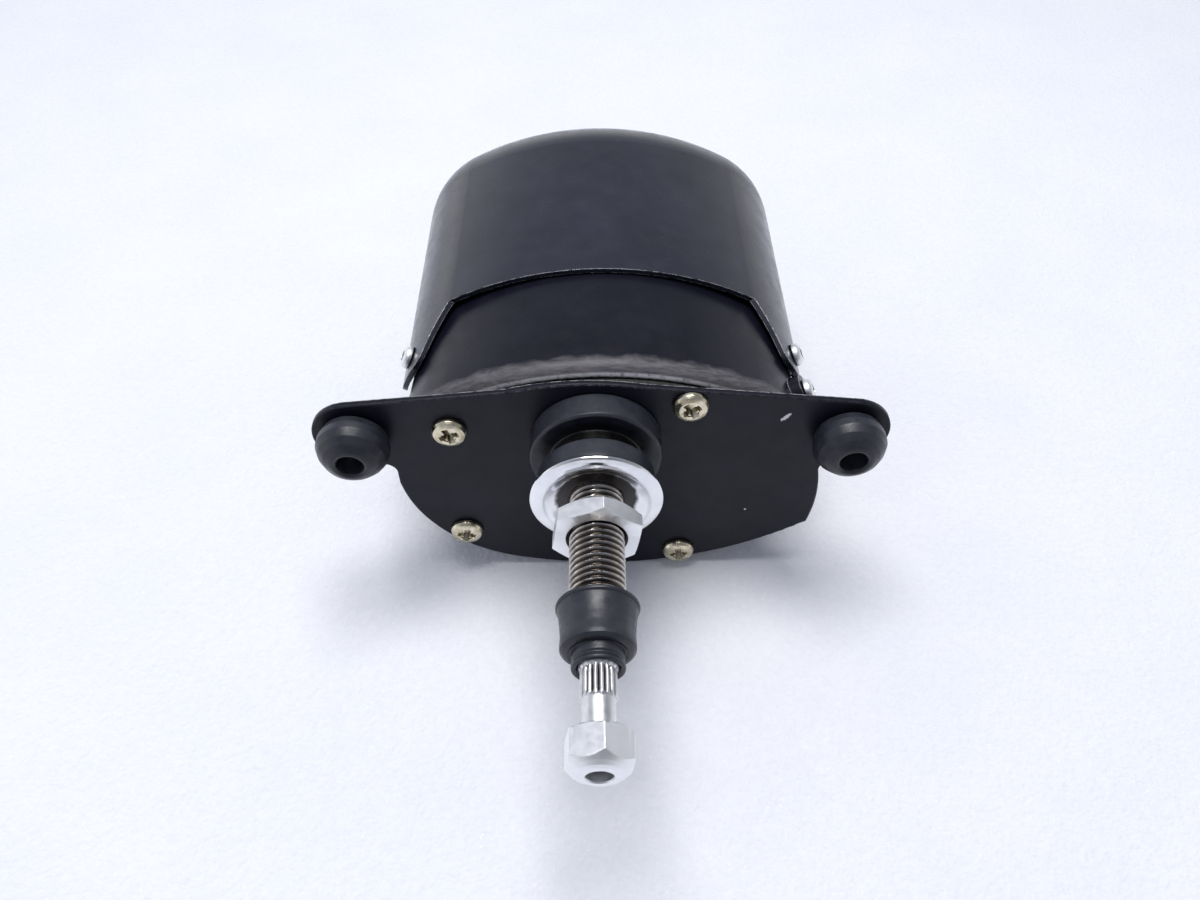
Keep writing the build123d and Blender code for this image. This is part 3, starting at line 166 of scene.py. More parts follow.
# ---------------------------------------------------------------- material helpers
class Shade:
    """One node material, with short calls that add nodes and join them."""

    def __init__(self, name):
        self.mat = bpy.data.materials.new(name)
        self.mat.use_nodes = True
        self.nodes = self.mat.node_tree.nodes
        self.links = self.mat.node_tree.links
        self.nodes.clear()
        self.out = self.nodes.new("ShaderNodeOutputMaterial")
        self.bsdf = self.nodes.new("ShaderNodeBsdfPrincipled")
        self.links.new(self.bsdf.outputs["BSDF"], self.out.inputs["Surface"])
        coords = self.nodes.new("ShaderNodeTexCoord")
        self.where = coords.outputs["Object"]
        self.height = None

    def put(self, node, socket, value):
        """Joins an output to a node's socket, or gives the socket a plain value."""
        if hasattr(value, "is_output"):
            self.links.new(value, node.inputs[socket])
        else:
            node.inputs[socket].default_value = value

    def set(self, socket, value):
        """Does the same for one of the shader's own sockets."""
        self.put(self.bsdf, socket, value)

    def get(self, socket):
        """The output that already feeds one of the shader's sockets."""
        return self.bsdf.inputs[socket].links[0].from_socket

    def math(self, operation, a, b=0.0, clamp=False):
        node = self.nodes.new("ShaderNodeMath")
        node.operation = operation
        node.use_clamp = clamp
        self.put(node, 0, a)
        self.put(node, 1, b)
        return node.outputs[0]

    def stretched(self, scale):
        """The place on the part, scaled, for grain that runs one way."""
        node = self.nodes.new("ShaderNodeMapping")
        self.put(node, "Vector", self.where)
        node.inputs["Scale"].default_value = scale
        return node.outputs[0]

    def noise(self, size_mm, detail=3.0, rough=0.55, at=None):
        """Grain whose blobs are about size_mm across, 0 to 1."""
        node = self.nodes.new("ShaderNodeTexNoise")
        self.put(node, "Vector", at if at else self.where)
        node.inputs["Scale"].default_value = 1.0 / (size_mm * MM)
        node.inputs["Detail"].default_value = detail
        node.inputs["Roughness"].default_value = rough
        return node.outputs["Fac"]

    def cells(self, size_mm):
        """The distance to the middle of the nearest of many cells, size_mm apart."""
        node = self.nodes.new("ShaderNodeTexVoronoi")
        self.put(node, "Vector", self.where)
        node.inputs["Scale"].default_value = 1.0 / (size_mm * MM)
        return node.outputs["Distance"]

    def band(self, value, low, high, to_low=0.0, to_high=1.0):
        """value taken from low..high to to_low..to_high, held at both ends."""
        node = self.nodes.new("ShaderNodeMapRange")
        self.put(node, "Value", value)
        self.put(node, "From Min", low)
        self.put(node, "From Max", high)
        self.put(node, "To Min", to_low)
        self.put(node, "To Max", to_high)
        return node.outputs["Result"]

    def mix(self, share, first, second):
        """A colour that goes from first to second as share goes from 0 to 1."""
        node = self.nodes.new("ShaderNodeMix")
        node.data_type = "RGBA"
        self.put(node, 0, share)
        for socket, value in ((6, first), (7, second)):
            self.put(node, socket, value if hasattr(value, "is_output") else rgb(value))
        return node.outputs[2]

    def axis(self, letter):
        """A coordinate in millimetres."""
        node = self.nodes.new("ShaderNodeSeparateXYZ")
        self.put(node, 0, self.where)
        return self.math("DIVIDE", node.outputs["XYZ".index(letter)], MM)

    def axis_radius(self):
        """The distance from the spindle's axis in millimetres."""
        x = self.axis("X")
        z = self.axis("Z")
        return self.length(x, z)

    def length(self, a, b):
        """The length of the flat vector whose two parts are a and b."""
        return self.math("SQRT", self.math(
            "ADD", self.math("MULTIPLY", a, a), self.math("MULTIPLY", b, b)))

    def upward(self):
        """How far the surface faces up: 1 on top, -1 below."""
        facing = self.nodes.new("ShaderNodeNewGeometry")
        split = self.nodes.new("ShaderNodeSeparateXYZ")
        self.links.new(facing.outputs["Normal"], split.inputs[0])
        return split.outputs["Z"]

    def polish(self, size_mm, detail, low, high):
        """Roughness that wanders between low and high."""
        self.set("Roughness", self.band(self.noise(size_mm, detail), 0.3, 0.7, low, high))

    def edges(self, radius_mm):
        """1 on sharp edges, 0 on open faces. Bumps added after it see the edges round."""
        soft = self.nodes.new("ShaderNodeBevel")
        soft.samples = 6
        soft.inputs["Radius"].default_value = radius_mm * MM
        plain = self.nodes.new("ShaderNodeNewGeometry")
        dot = self.nodes.new("ShaderNodeVectorMath")
        dot.operation = "DOT_PRODUCT"
        self.links.new(soft.outputs[0], dot.inputs[0])
        self.height = soft.outputs[0]
        self.links.new(plain.outputs["Normal"], dot.inputs[1])
        return self.band(dot.outputs["Value"], 0.985, 0.84)

    def bump(self, value, depth_mm, strength=1.0):
        """Raises the surface by value times depth; several calls add up."""
        node = self.nodes.new("ShaderNodeBump")
        node.inputs["Distance"].default_value = depth_mm * MM
        node.inputs["Strength"].default_value = strength
        self.put(node, "Height", value)
        if self.height:
            self.links.new(self.height, node.inputs["Normal"])
        self.height = node.outputs[0]
        self.links.new(self.height, self.bsdf.inputs["Normal"])


def rgb(value):
    """A colour from one grey or three linear values."""
    if isinstance(value, (int, float)):
        return (value, value, value, 1.0)
    return (*value, 1.0)


# ---------------------------------------------------------------- materials
# Colours are linear.
PAINT_DARK = (0.0042, 0.0048, 0.0105)
PAINT_LIGHT = (0.0080, 0.0088, 0.0170)
COVER_DARK = (0.009, 0.0105, 0.020)
COVER_LIGHT = (0.016, 0.018, 0.032)
PAINT_SPECKS = (0.060, 0.058, 0.062)
WORN_EDGE = (0.66, 0.66, 0.69)
# Colour of the painted highlight along the case's front corner.
CORNER_HIGHLIGHT = (0.50, 0.50, 0.53)
WORN_MARK = (0.72, 0.72, 0.75)
# Colour of the painted sheen band round the case.
CASE_SHEEN = (0.165, 0.158, 0.170)
RUBBER_DARK = (0.0075, 0.0085, 0.0145)
RUBBER_LIGHT = (0.0155, 0.0168, 0.026)
RUBBER_SPECKS = (0.10, 0.10, 0.12)
RUBBER_DUST = (0.045, 0.049, 0.062)
RUBBER_ROUGHNESS = 0.34
# The darker brown of the thread's grooves.
THREAD_GROOVE_TONE = (0.034, 0.024, 0.018)
# The darker tone between the spindle's flutes.
FLUTE_HOLLOW_TONE = (0.045, 0.042, 0.040)
# Grease and the nut's painted shadow on the washer's seat.
SEAT_GREASE_AND_SHADOW = (0.022, 0.016, 0.015)
# Grime and painted shade in the hollows of metal parts.
GRIME_AND_SHADE = (0.024, 0.017, 0.013)
# Painted shade: near black, for faces in a narrow gap, where little light comes out again.
GAP_SHADE = 0.001

# The band of painted sheen round the case, from full sheen to none, and its ragged edge's reach.
CASE_SHEEN_FULL_Y = 6.4
CASE_SHEEN_NONE_Y = 8.4
CASE_SHEEN_RAGGED = 1.6
# The seal's groove gets full painted shade inside the first radius and none outside the second.
GROOVE_SHADE_FULL_R = 12.2
GROOVE_SHADE_NONE_R = 13.2

# The bright marks on the plate's right side, a scratch by the ear and a chip lower down: each
# one's middle in x and z, its half length and half width, and its lean in degrees.
PLATE_MARKS = (
    ((43.1, 6.8), (1.7, 0.55), 54.0),
    ((37.6, -26.9), (0.3, 0.3), 0.0),
)


def black_paint(name, dark, light, roughness, wear_size, wear, lift):
    """Sprayed black enamel: faint blotches, orange peel, dust, and worn sheet edges.

    Wear reaches wear_size millimetres in from an edge, and lift is the specular level.
    """
    s = Shade(name)
    blotch = s.noise(16.0, 4.0, 0.6)
    tone = s.mix(s.band(blotch, 0.35, 0.68), dark, light)
    dust = s.math("MULTIPLY", s.band(s.noise(0.35, 2.0), 0.62, 0.78), 0.25)
    tone = s.mix(dust, tone, PAINT_SPECKS)
    scuffs = s.band(s.noise(1.6, 5.0, 0.7), 0.38, 0.56)
    worn = s.math("MULTIPLY", s.edges(wear_size), scuffs)
    worn = s.math("MULTIPLY", worn, wear, clamp=True)
    tone = s.mix(worn, tone, WORN_EDGE)
    s.set("Base Color", tone)
    s.polish(5.0, 4.0, roughness - 0.06, roughness + 0.08)
    s.set("Specular IOR Level", lift)
    s.bump(s.noise(0.9, 2.0), 0.012)
    s.bump(s.noise(0.16, 2.0), 0.006)
    return s


def plate_paint():
    """The plate's paint, with its bright marks."""
    s = black_paint("plate_paint", PAINT_DARK, PAINT_LIGHT, roughness=0.38, wear_size=0.5,
                    wear=1.0, lift=0.2)
    x = s.axis("X")
    z = s.axis("Z")
    tone = s.get("Base Color")
    for middle, reach, lean in PLATE_MARKS:
        right = s.math("SUBTRACT", x, middle[0])
        above = s.math("SUBTRACT", z, middle[1])
        turn = (math.cos(math.radians(lean)), math.sin(math.radians(lean)))
        along = s.math("ADD", s.math("MULTIPLY", right, turn[0] / reach[0]),
                       s.math("MULTIPLY", above, turn[1] / reach[0]))
        across = s.math("SUBTRACT", s.math("MULTIPLY", above, turn[0] / reach[1]),
                        s.math("MULTIPLY", right, turn[1] / reach[1]))
        ragged = s.band(s.noise(0.8, 3.0), 0.3, 0.7, -0.35, 0.35)
        far = s.math("ADD", s.length(along, across), ragged)
        tone = s.mix(s.band(far, 1.0, 0.8), tone, WORN_MARK)
    s.set("Base Color", tone)
    return s


def case_paint():
    """The gear case's paint: a painted highlight along its front corner, painted shade on its
    front face, and a band of painted sheen behind them.
    """
    s = black_paint("case_paint", PAINT_DARK, PAINT_LIGHT, roughness=0.30, wear_size=0.3,
                    wear=0.9, lift=0.26)
    y = s.axis("Y")
    # A pale band of painted sheen behind the case's front, broken by streaks and made a little
    # duller.
    ragged = s.math("MULTIPLY", s.band(s.noise(5.0, 4.0, 0.6), 0.3, 0.7), CASE_SHEEN_RAGGED)
    reach = s.math("ADD", y, ragged)
    near = s.band(reach, CASE_SHEEN_NONE_Y, CASE_SHEEN_FULL_Y)
    streak = s.band(s.noise(1.1, 5.0, 0.7, s.stretched((0.25, 1.5, 1.0))), 0.28, 0.62)
    band = s.math("MULTIPLY", near, s.band(streak, 0.0, 1.0, 0.3, 1.0))
    tone = s.get("Base Color")
    tone = s.mix(s.math("MULTIPLY", band, 0.8), tone, CASE_SHEEN)
    # A painted highlight along the case's front corner, broken up into chips.
    chips = s.band(s.noise(1.6, 5.0, 0.7), 0.36, 0.50, 0.25, 0.9)
    corner = s.math("MULTIPLY", s.band(y, CASE_FRONT_Y + 0.5, CASE_FRONT_Y + 0.3), chips)
    tone = s.mix(corner, tone, CORNER_HIGHLIGHT)
    # Painted shade on the case's front face, in its narrow gap against the gasket.
    front = s.band(y, CASE_FRONT_Y + 0.12, CASE_FRONT_Y + 0.04)
    s.set("Base Color", s.mix(front, tone, GAP_SHADE))
    roughness = s.get("Roughness")
    dull = s.math("ADD", s.math("MULTIPLY", band, 0.18), s.math("MULTIPLY", front, 0.5))
    s.set("Roughness", s.math("ADD", roughness, dull, clamp=True))
    return s


def rubber():
    """Moulded black rubber: bloom, grain, specks, dust on top, and painted shade in the seal's
    groove.
    """
    s = Shade("rubber")
    tone = s.mix(s.band(s.noise(4.0, 4.0, 0.6), 0.35, 0.7), RUBBER_DARK, RUBBER_LIGHT)
    specks = s.band(s.noise(0.28, 2.0), 0.66, 0.76)
    tone = s.mix(s.math("MULTIPLY", specks, 0.5), tone, RUBBER_SPECKS)
    y = s.axis("Y")
    # Painted shade in the seal's groove, near black.
    deep = s.math("MULTIPLY", s.band(y, SEAL_GROOVE_FRONT_Y, SEAL_GROOVE_FRONT_Y + 0.3),
                  s.band(y, SEAL_GROOVE_BACK_Y, SEAL_GROOVE_BACK_Y - 0.3))
    deep = s.math("MULTIPLY", deep, s.band(s.axis_radius(), GROOVE_SHADE_NONE_R, GROOVE_SHADE_FULL_R))
    settled = s.math("MULTIPLY", s.band(s.upward(), 0.25, 0.95),
                     s.band(s.noise(2.2, 4.0), 0.25, 0.6, 0.3, 0.6))
    tone = s.mix(settled, tone, RUBBER_DUST)
    s.set("Base Color", s.mix(deep, tone, GAP_SHADE))
    s.set("Specular IOR Level", 0.4)
    s.polish(2.5, 4.0, RUBBER_ROUGHNESS - 0.08, RUBBER_ROUGHNESS + 0.10)
    s.bump(s.noise(1.4, 3.0), 0.03)
    s.bump(s.noise(0.12, 2.0), 0.006)
    return s


def metal(name, dark, light, roughness, blotch=3.0, scratch=0.004, stain=None):
    """Bare or plated metal: patchy tone, uneven polish and fine scratches."""
    s = Shade(name)
    tone = s.mix(s.band(s.noise(blotch, 5.0, 0.6), 0.35, 0.68), dark, light)
    if stain:
        tone = s.mix(s.band(s.noise(1.2, 4.0, 0.7), 0.56, 0.74, 0.0, 0.7), tone, stain)
    s.set("Base Color", tone)
    s.set("Metallic", 1.0)
    s.polish(1.5, 4.0, roughness - 0.05, roughness + 0.08)
    s.bump(s.noise(0.5, 4.0, 0.7, s.stretched((1.0, 0.12, 1.0))), scratch)
    return s


def plastic(name, dark, light, roughness=0.45):
    """A plain moulded or pressed surface, also used for magnets and carbon."""
    s = Shade(name)
    s.set("Base Color", s.mix(s.band(s.noise(6.0, 3.0), 0.35, 0.65), dark, light))
    s.polish(2.0, 3.0, roughness - 0.05, roughness + 0.08)
    s.bump(s.noise(0.4, 2.0), 0.008)
    return s


def thread_metal():
    """Nickel on the bush: bright crests and darker brown grooves."""
    s = metal("bush_nickel", (0.40, 0.37, 0.34), (0.66, 0.63, 0.59), 0.22, 2.0)
    radius = s.axis_radius()
    groove = s.band(radius, BUSH_R - 0.06, BUSH_R - THREAD_DEPTH * 0.65)
    outside = s.band(radius, BUSH_BORE_R + 0.3, BUSH_BORE_R + 0.8)
    dark_share = s.math("MULTIPLY", groove, outside)
    tone = s.get("Base Color")
    s.set("Base Color", s.mix(s.math("MULTIPLY", dark_share, 0.95), tone, THREAD_GROOVE_TONE))
    return s


def spindle_metal():
    """Ground steel, darker between the flutes."""
    s = metal("spindle_steel", (0.66, 0.66, 0.68), (0.82, 0.82, 0.83), 0.37, 2.0, 0.006)
    y = s.axis("Y")
    fluted = s.math("MULTIPLY", s.band(y, KNURL_END_Y - 0.3, KNURL_END_Y),
                    s.band(y, KNURL_START_Y + 0.3, KNURL_START_Y))
    low = s.band(s.axis_radius(), KNURL_R - 0.08, KNURL_R - 0.34)
    tone = s.get("Base Color")
    dark_share = s.math("MULTIPLY", s.math("MULTIPLY", fluted, low), 0.9)
    s.set("Base Color", s.mix(dark_share, tone, FLUTE_HOLLOW_TONE))
    return s


def grime_and_shade(s, reach_mm):
    """Darkens a metal's hollows, where other faces are within reach_mm: grime and painted shade.
    """
    hollow = s.nodes.new("ShaderNodeAmbientOcclusion")
    hollow.samples = 8
    hollow.inputs["Distance"].default_value = reach_mm * MM
    share = s.math("MULTIPLY", s.band(hollow.outputs["AO"], 0.70, 0.42), 0.93)
    tone = s.get("Base Color")
    s.set("Base Color", s.mix(share, tone, GRIME_AND_SHADE))
    return s


def washer_chrome():
    """Bright chrome, brown and dull on the seat: grease and the nut's painted shadow."""
    s = metal("chrome", (0.74, 0.75, 0.78), (0.88, 0.88, 0.90), 0.10, 6.0, 0.003)
    edge = s.math("ADD", s.axis_radius(), s.band(s.noise(2.0, 4.0), 0.3, 0.7, -0.3, 0.3))
    # The nut's painted shadow on the seat, with grease: browner and duller.
    greasy_and_shadowed = s.band(edge, WASHER_SEAT_R + 0.5, WASHER_SEAT_R - 0.3)
    tone = s.get("Base Color")
    s.set("Base Color", s.mix(s.math("MULTIPLY", greasy_and_shadowed, 0.93), tone, SEAT_GREASE_AND_SHADOW))
    roughness = s.get("Roughness")
    s.set("Roughness", s.math("ADD", roughness, s.math("MULTIPLY", greasy_and_shadowed, 0.25), clamp=True))
    return s


def gasket_material():
    """Dark pressed fibre."""
    s = Shade("gasket")
    s.set("Base Color", s.mix(s.band(s.noise(0.8, 5.0), 0.35, 0.65), 0.012, 0.035))
    s.polish(1.0, 3.0, 0.62, 0.8)
    s.bump(s.noise(0.3, 4.0), 0.03)
    return s


def make_materials():
    """One material for each of the record's slots."""
    made = {
        "cover_paint": black_paint("cover_paint", COVER_DARK, COVER_LIGHT, roughness=0.23,
                                   wear_size=0.35, wear=1.0, lift=0.6),
        "case_paint": case_paint(),
        "plate_paint": plate_paint(),
        "rubber": rubber(),
        "gasket": gasket_material(),
        "yellow_zinc": grime_and_shade(metal(
            "yellow_zinc", (0.56, 0.49, 0.33), (0.80, 0.75, 0.60), 0.24, 1.6, 0.003,
            (0.42, 0.38, 0.26),
        ), 1.8),
        "zinc": grime_and_shade(metal(
            "zinc", (0.84, 0.85, 0.87), (0.91, 0.92, 0.93), 0.42, 9.0, 0.003,
        ), 3.0),
        "chrome": washer_chrome(),
        "bush_nickel": thread_metal(),
        "spindle_steel": spindle_metal(),
        "gear_steel": metal("gear_steel", (0.36, 0.35, 0.34), (0.50, 0.49, 0.48), 0.34),
        "gear_plastic": plastic("gear_plastic", (0.62, 0.61, 0.56), (0.72, 0.71, 0.67)),
        "stud_steel": metal("stud_steel", (0.50, 0.50, 0.52), (0.66, 0.66, 0.68), 0.26),
        "cast_plate": metal("cast_plate", (0.34, 0.34, 0.35), (0.46, 0.46, 0.47), 0.46),
        "yoke_steel": metal("yoke_steel", (0.40, 0.38, 0.31), (0.56, 0.54, 0.46), 0.34),
        "magnet": plastic("magnet", (0.020, 0.020, 0.022), (0.045, 0.044, 0.046), 0.6),
        "lamination": metal("lamination", (0.18, 0.18, 0.19), (0.30, 0.30, 0.31), 0.42),
        "copper": metal("copper", (0.50, 0.20, 0.10), (0.72, 0.34, 0.19), 0.30),
        "bronze": metal("bronze", (0.36, 0.22, 0.10), (0.52, 0.35, 0.18), 0.40),
        "insulator": plastic("insulator", (0.16, 0.085, 0.045), (0.23, 0.13, 0.07), 0.6),
        "carbon": plastic("carbon", (0.012, 0.012, 0.012), (0.028, 0.028, 0.028), 0.55),
    }
    return {name: shade.mat for name, shade in made.items()}


def dress_cad(materials):
    """Gives each CAD node the node material of the record's slot it was packed with."""
    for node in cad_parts.values():
        for index, held in enumerate(node.material_slots):
            name = held.material.name.split(".")[0] if held.material else ""
            node.material_slots[index].material = materials[name]


# ---------------------------------------------------------------- mesh helpers
def rounded(profile, radius):
    """A closed profile of (y, r) points whose corners are turned by a small radius."""
    points = []
    count = len(profile)
    for i, here in enumerate(profile):
        before = Vector(profile[i - 1]) - Vector(here)
        after = Vector(profile[(i + 1) % count]) - Vector(here)
        turn = before.angle(after, math.pi)
        reach = min(radius / max(math.tan(turn / 2), 0.05), before.length * 0.45,
                    after.length * 0.45)
        start = Vector(here) + before.normalized() * reach
        end = Vector(here) + after.normalized() * reach
        for k in range(CORNER_STEPS + 1):
            t = k / CORNER_STEPS
            points.append(tuple(start * (1 - t) ** 2 + Vector(here) * 2 * t * (1 - t)
                                + end * t ** 2))
    return points


def divided(profile, longest, closed=True):
    """The profile with no side longer than the given length.

    An open profile isn't joined from its last point back to its first.
    """
    points = []
    ends = profile[1:] + profile[:1] if closed else profile[1:]
    for here, there in zip(profile, ends):
        here = Vector(here)
        there = Vector(there)
        parts = max(1, math.ceil((there - here).length / longest))
        for k in range(parts):
            points.append(tuple(here.lerp(there, k / parts)))
    if not closed:
        points.append(tuple(profile[-1]))
    return points


def finish_mesh(name, mesh, body, slot, materials, nodes, angle):
    """Links a new piece, shades it smooth up to angle degrees and ties it to the frame."""
    obj = bpy.data.objects.new(name, mesh)
    bpy.context.scene.collection.objects.link(obj)
    mesh.materials.clear()
    mesh.materials.append(materials[slot])
    mesh.shade_smooth()
    mesh.set_sharp_from_angle(angle=math.radians(angle))
    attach(obj, body)
    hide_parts(*nodes)


def lathe_mesh(name, profile, centre=(0.0, 0.0), segments=96, shift=None, angles=None):
    """A closed skin turned about a Y axis. shift(y, r, angle) may move a point's radius."""
    if not angles:
        angles = [2 * math.pi * k / segments for k in range(segments)]
    bm = bmesh.new()
    rings = []
    for angle in angles:
        ring = []
        for y, r in profile:
            reach = r + shift(y, r, angle) if shift else r
            place = (centre[0] + reach * math.cos(angle), y, centre[1] + reach * math.sin(angle))
            ring.append(bm.verts.new(Vector(place) * MM))
        rings.append(ring)
    for k, one in enumerate(rings):
        two = rings[(k + 1) % len(rings)]
        for i in range(len(profile)):
            j = (i + 1) % len(profile)
            bm.faces.new((one[i], one[j], two[j], two[i]))
    bmesh.ops.recalc_face_normals(bm, faces=bm.faces)
    mesh = bpy.data.meshes.new(name)
    bm.to_mesh(mesh)
    bm.free()
    return mesh


# ---------------------------------------------------------------- rubber pieces
def lumps(y, r, angle, size, amount, seed):
    """A small smooth unevenness, the same on every run."""
    place = Vector((math.cos(angle) * r, y, math.sin(angle) * r)) / size
    return noise.noise(place + Vector((seed, 0, 0))) * amount


def add_dust_boot(materials):
    """The cap's thin lip, straight cup, flat shoulder and short neck."""
    profile = [
        (-45.6, 5.95), (-45.6, 8.3), (-45.9, 8.6), (-46.4, 8.5), (-46.7, 8.15), (-48.6, 7.85),
        (-50.6, 7.6), (-52.6, 7.5), (-54.6, 7.6), (-55.5, 7.55), (-56.1, 6.9), (-56.3, 6.1),
        (-56.0, 5.3), (-57.7, 5.2), (-58.1, 4.85), (-58.6, 5.0), (-59.1, 5.4), (-59.7, 5.2),
        (-59.8, 4.7), (-59.2, 4.2), (-58.6, 4.08), (-54.0, 4.08), (-54.0, 5.95),
    ]
    profile = divided(rounded(profile, 0.35), 0.9)
    mesh = lathe_mesh(
        "dust_boot_rubber", profile, segments=112,
        shift=lambda y, r, a: lumps(y, r, a, 5.0, 0.10, 3.0) if r > 4.8 else 0.0,
    )
    finish_mesh("dust_boot_rubber", mesh, "housing", "rubber", materials, ["dust_boot"], 60)


def add_panel_seal(materials):
    """The stepped seal, with a deep square groove for the panel."""
    profile = [
        (0.0, 9.5), (0.0, 14.8), (-0.6, 15.15), (-6.2, 15.1), (-6.8, 14.6),
        (-6.8, 10.4), (-11.3, 10.4), (-11.3, 12.6), (-11.7, 13.05), (-16.2, 13.0),
        (-16.9, 12.4), (-16.9, 5.95), (-3.0, 5.95), (-3.0, 9.5),
    ]
    profile = divided(rounded(profile, 0.4), 1.0)
    mesh = lathe_mesh(
        "panel_seal_rubber", profile, segments=128,
        shift=lambda y, r, a: lumps(y, r, a, 7.0, 0.10, 9.0) if -16.4 < y < -0.6 else 0.0,
    )
    finish_mesh("panel_seal_rubber", mesh, "housing", "rubber", materials, ["panel_seal"], 60)


def add_washer(materials):
    """The cup washer with its rim rolled a little back toward the edge."""
    profile = [
        (-16.9, 5.92), (-16.9, 9.1), (-18.3, 11.6), (-18.5, 12.3), (-18.3, 13.2), (-17.8, 14.3),
        (-17.9, 14.6), (-18.2, 14.7), (-18.5, 14.6), (-18.7, 14.3), (-19.0, 13.6),
        (-19.24, 12.9), (-19.37, 12.2), (-19.38, 11.7), (-19.2, 11.2), (-17.95, 9.2),
        (-17.8, 8.7), (-17.8, 5.92),
    ]
    mesh = lathe_mesh("cup_washer_rolled", divided(rounded(profile, 0.25), 0.5),
                      segments=120)
    finish_mesh("cup_washer_rolled", mesh, "housing", "chrome", materials, ["cup_washer"], 40)


def add_grommet(side, x, materials):
    """A ball-like grommet, pinched in the ear's hole and dimpled round its bore."""
    profile = [
        (0.0, 5.2), (0.0, 6.8), (-0.9, 7.8), (-2.8, 8.35), (-4.6, 8.3), (-6.4, 7.5),
        (-8.0, 6.2), (-9.1, 4.6), (-9.4, 3.8), (-9.0, 3.1), (-7.6, 2.9), (3.8, 2.9),
        (4.6, 3.5), (4.6, 6.0), (3.7, 7.3), (2.0, 7.6), (1.4, 7.2), (1.4, 5.2),
    ]
    profile = divided(rounded(profile, 0.6), 1.0)
    mesh = lathe_mesh(
        "grommet_rubber_" + side, profile, (x, EAR_Z), 96,
        lambda y, r, a: lumps(y, r, a, 6.0, 0.16, x) if y < -0.5 else 0.0,
    )
    nodes = ["grommet_" + side]
    finish_mesh("grommet_rubber_" + side, mesh, "housing", "rubber", materials, nodes, 60)


# ---------------------------------------------------------------- threads and knurl
def add_bush(materials):
    """The bush with its helical thread, plain collar and spigot."""
    start = BUSH_TIP_Y + 0.9
    end = BUSH_THREAD_END_Y
    step = THREAD_PITCH / THREAD_STEPS_PER_TURN
    count = round((end - start) / step)
    thread = [(start + (end - start) * k / count, BUSH_R) for k in range(count + 1)]
    profile = [(BUSH_TIP_Y, BUSH_BORE_R + 0.3), (BUSH_TIP_Y, BUSH_R - 0.9)]
    profile += thread
    profile += [
        (BUSH_COLLAR_Y, BUSH_R), (BUSH_COLLAR_Y, BUSH_COLLAR_R), (0.0, BUSH_COLLAR_R),
        (0.0, BUSH_SPIGOT_R), (BUSH_BACK_Y, BUSH_SPIGOT_R), (BUSH_BACK_Y, BUSH_BORE_R),
        (BUSH_TIP_Y + 0.4, BUSH_BORE_R),
    ]

    def cut(y, r, angle):
        if r != BUSH_R or y < start or y > end:
            return 0.0
        phase = (y / THREAD_PITCH + angle / (2 * math.pi)) % 1.0
        slope = abs(2 * phase - 1)
        depth = min(1.0, max(0.0, (0.93 - slope) / 0.80))
        fade = min(1.0, (y - start) / THREAD_PITCH + 0.3, (end - y) / THREAD_PITCH)
        return -THREAD_DEPTH * depth * max(fade, 0.0)

    mesh = lathe_mesh("spindle_bush_threaded", profile, segments=80, shift=cut)
    finish_mesh(
        "spindle_bush_threaded", mesh, "housing", "bush_nickel", materials,
        ["spindle_bush"], 50,
    )


def add_spindle(materials):
    """The spindle with its fluted seat and smooth shank."""
    flutes = [(KNURL_START_Y + (KNURL_END_Y - KNURL_START_Y) * k / 12, KNURL_R)
              for k in range(13)]
    profile = [(SPINDLE_BACK_Y, AXIS_R), (SPINDLE_BACK_Y, SPINDLE_R - 0.4),
               (SPINDLE_BACK_Y - 0.4, SPINDLE_R)]
    profile += [(KNURL_START_Y + 0.6, SPINDLE_R), (KNURL_START_Y + 0.1, KNURL_R)]
    profile += flutes
    profile += [
        (KNURL_END_Y - 0.35, SHANK_R + 0.05), (KNURL_END_Y - 0.7, SHANK_R),
        (SPINDLE_TIP_Y + 0.5, SHANK_R), (SPINDLE_TIP_Y, SHANK_R - 0.5), (SPINDLE_TIP_Y, AXIS_R),
    ]

    def flute(y, r, angle):
        if r != KNURL_R or y > KNURL_START_Y or y < KNURL_END_Y:
            return 0.0
        wave = abs(math.cos(KNURL_TEETH * angle / 2))
        ends = min(1.0, (y - KNURL_END_Y) / 0.8 + 0.25, (KNURL_START_Y - y) / 0.4 + 0.4)
        return -0.55 * (1 - wave) * ends

    mesh = lathe_mesh("spindle_knurled", profile, segments=KNURL_TEETH * 8, shift=flute)
    finish_mesh(
        "spindle_knurled", mesh, "spindle_group", "spindle_steel", materials, ["spindle"], 50
    )


# ---------------------------------------------------------------- nuts
def hex_angles():
    """Angles for a hexagon's skin: close together round each corner, wider on the flats."""
    near = [-1.2, -0.8, -0.4, 0.0, 0.4, 0.8, 1.2]
    steps = near + [3.0 * k for k in range(1, 20)]
    angles = [NUT_CORNER_ANGLE + 60.0 * side + step for side in range(6) for step in steps]
    return [math.radians(angle) for angle in angles]


def hex_reach(flat, angle):
    """How far a hexagon with rounded corners reaches at an angle."""
    off = (math.degrees(angle) - NUT_CORNER_ANGLE + 30.0) % 60.0 - 30.0
    straight = flat / math.cos(math.radians(30.0 - abs(off)))
    middle = (flat - NUT_CORNER_ROUND) / math.cos(math.radians(30.0))
    aside = middle * math.sin(math.radians(off))
    if abs(aside) >= NUT_CORNER_ROUND:
        return straight
    depth = math.sqrt(NUT_CORNER_ROUND ** 2 - aside ** 2)
    return min(straight, middle * math.cos(math.radians(off)) + depth)


def hex_nut(name, flat, profile, body, node, materials):
    """A nut's skin: its turned profile trimmed by the hexagon."""
    mesh = lathe_mesh(
        name, profile, angles=hex_angles(),
        shift=lambda y, r, angle: min(r, hex_reach(flat, angle)) - r,
    )
    finish_mesh(name, mesh, body, "zinc", materials, [node], 24)


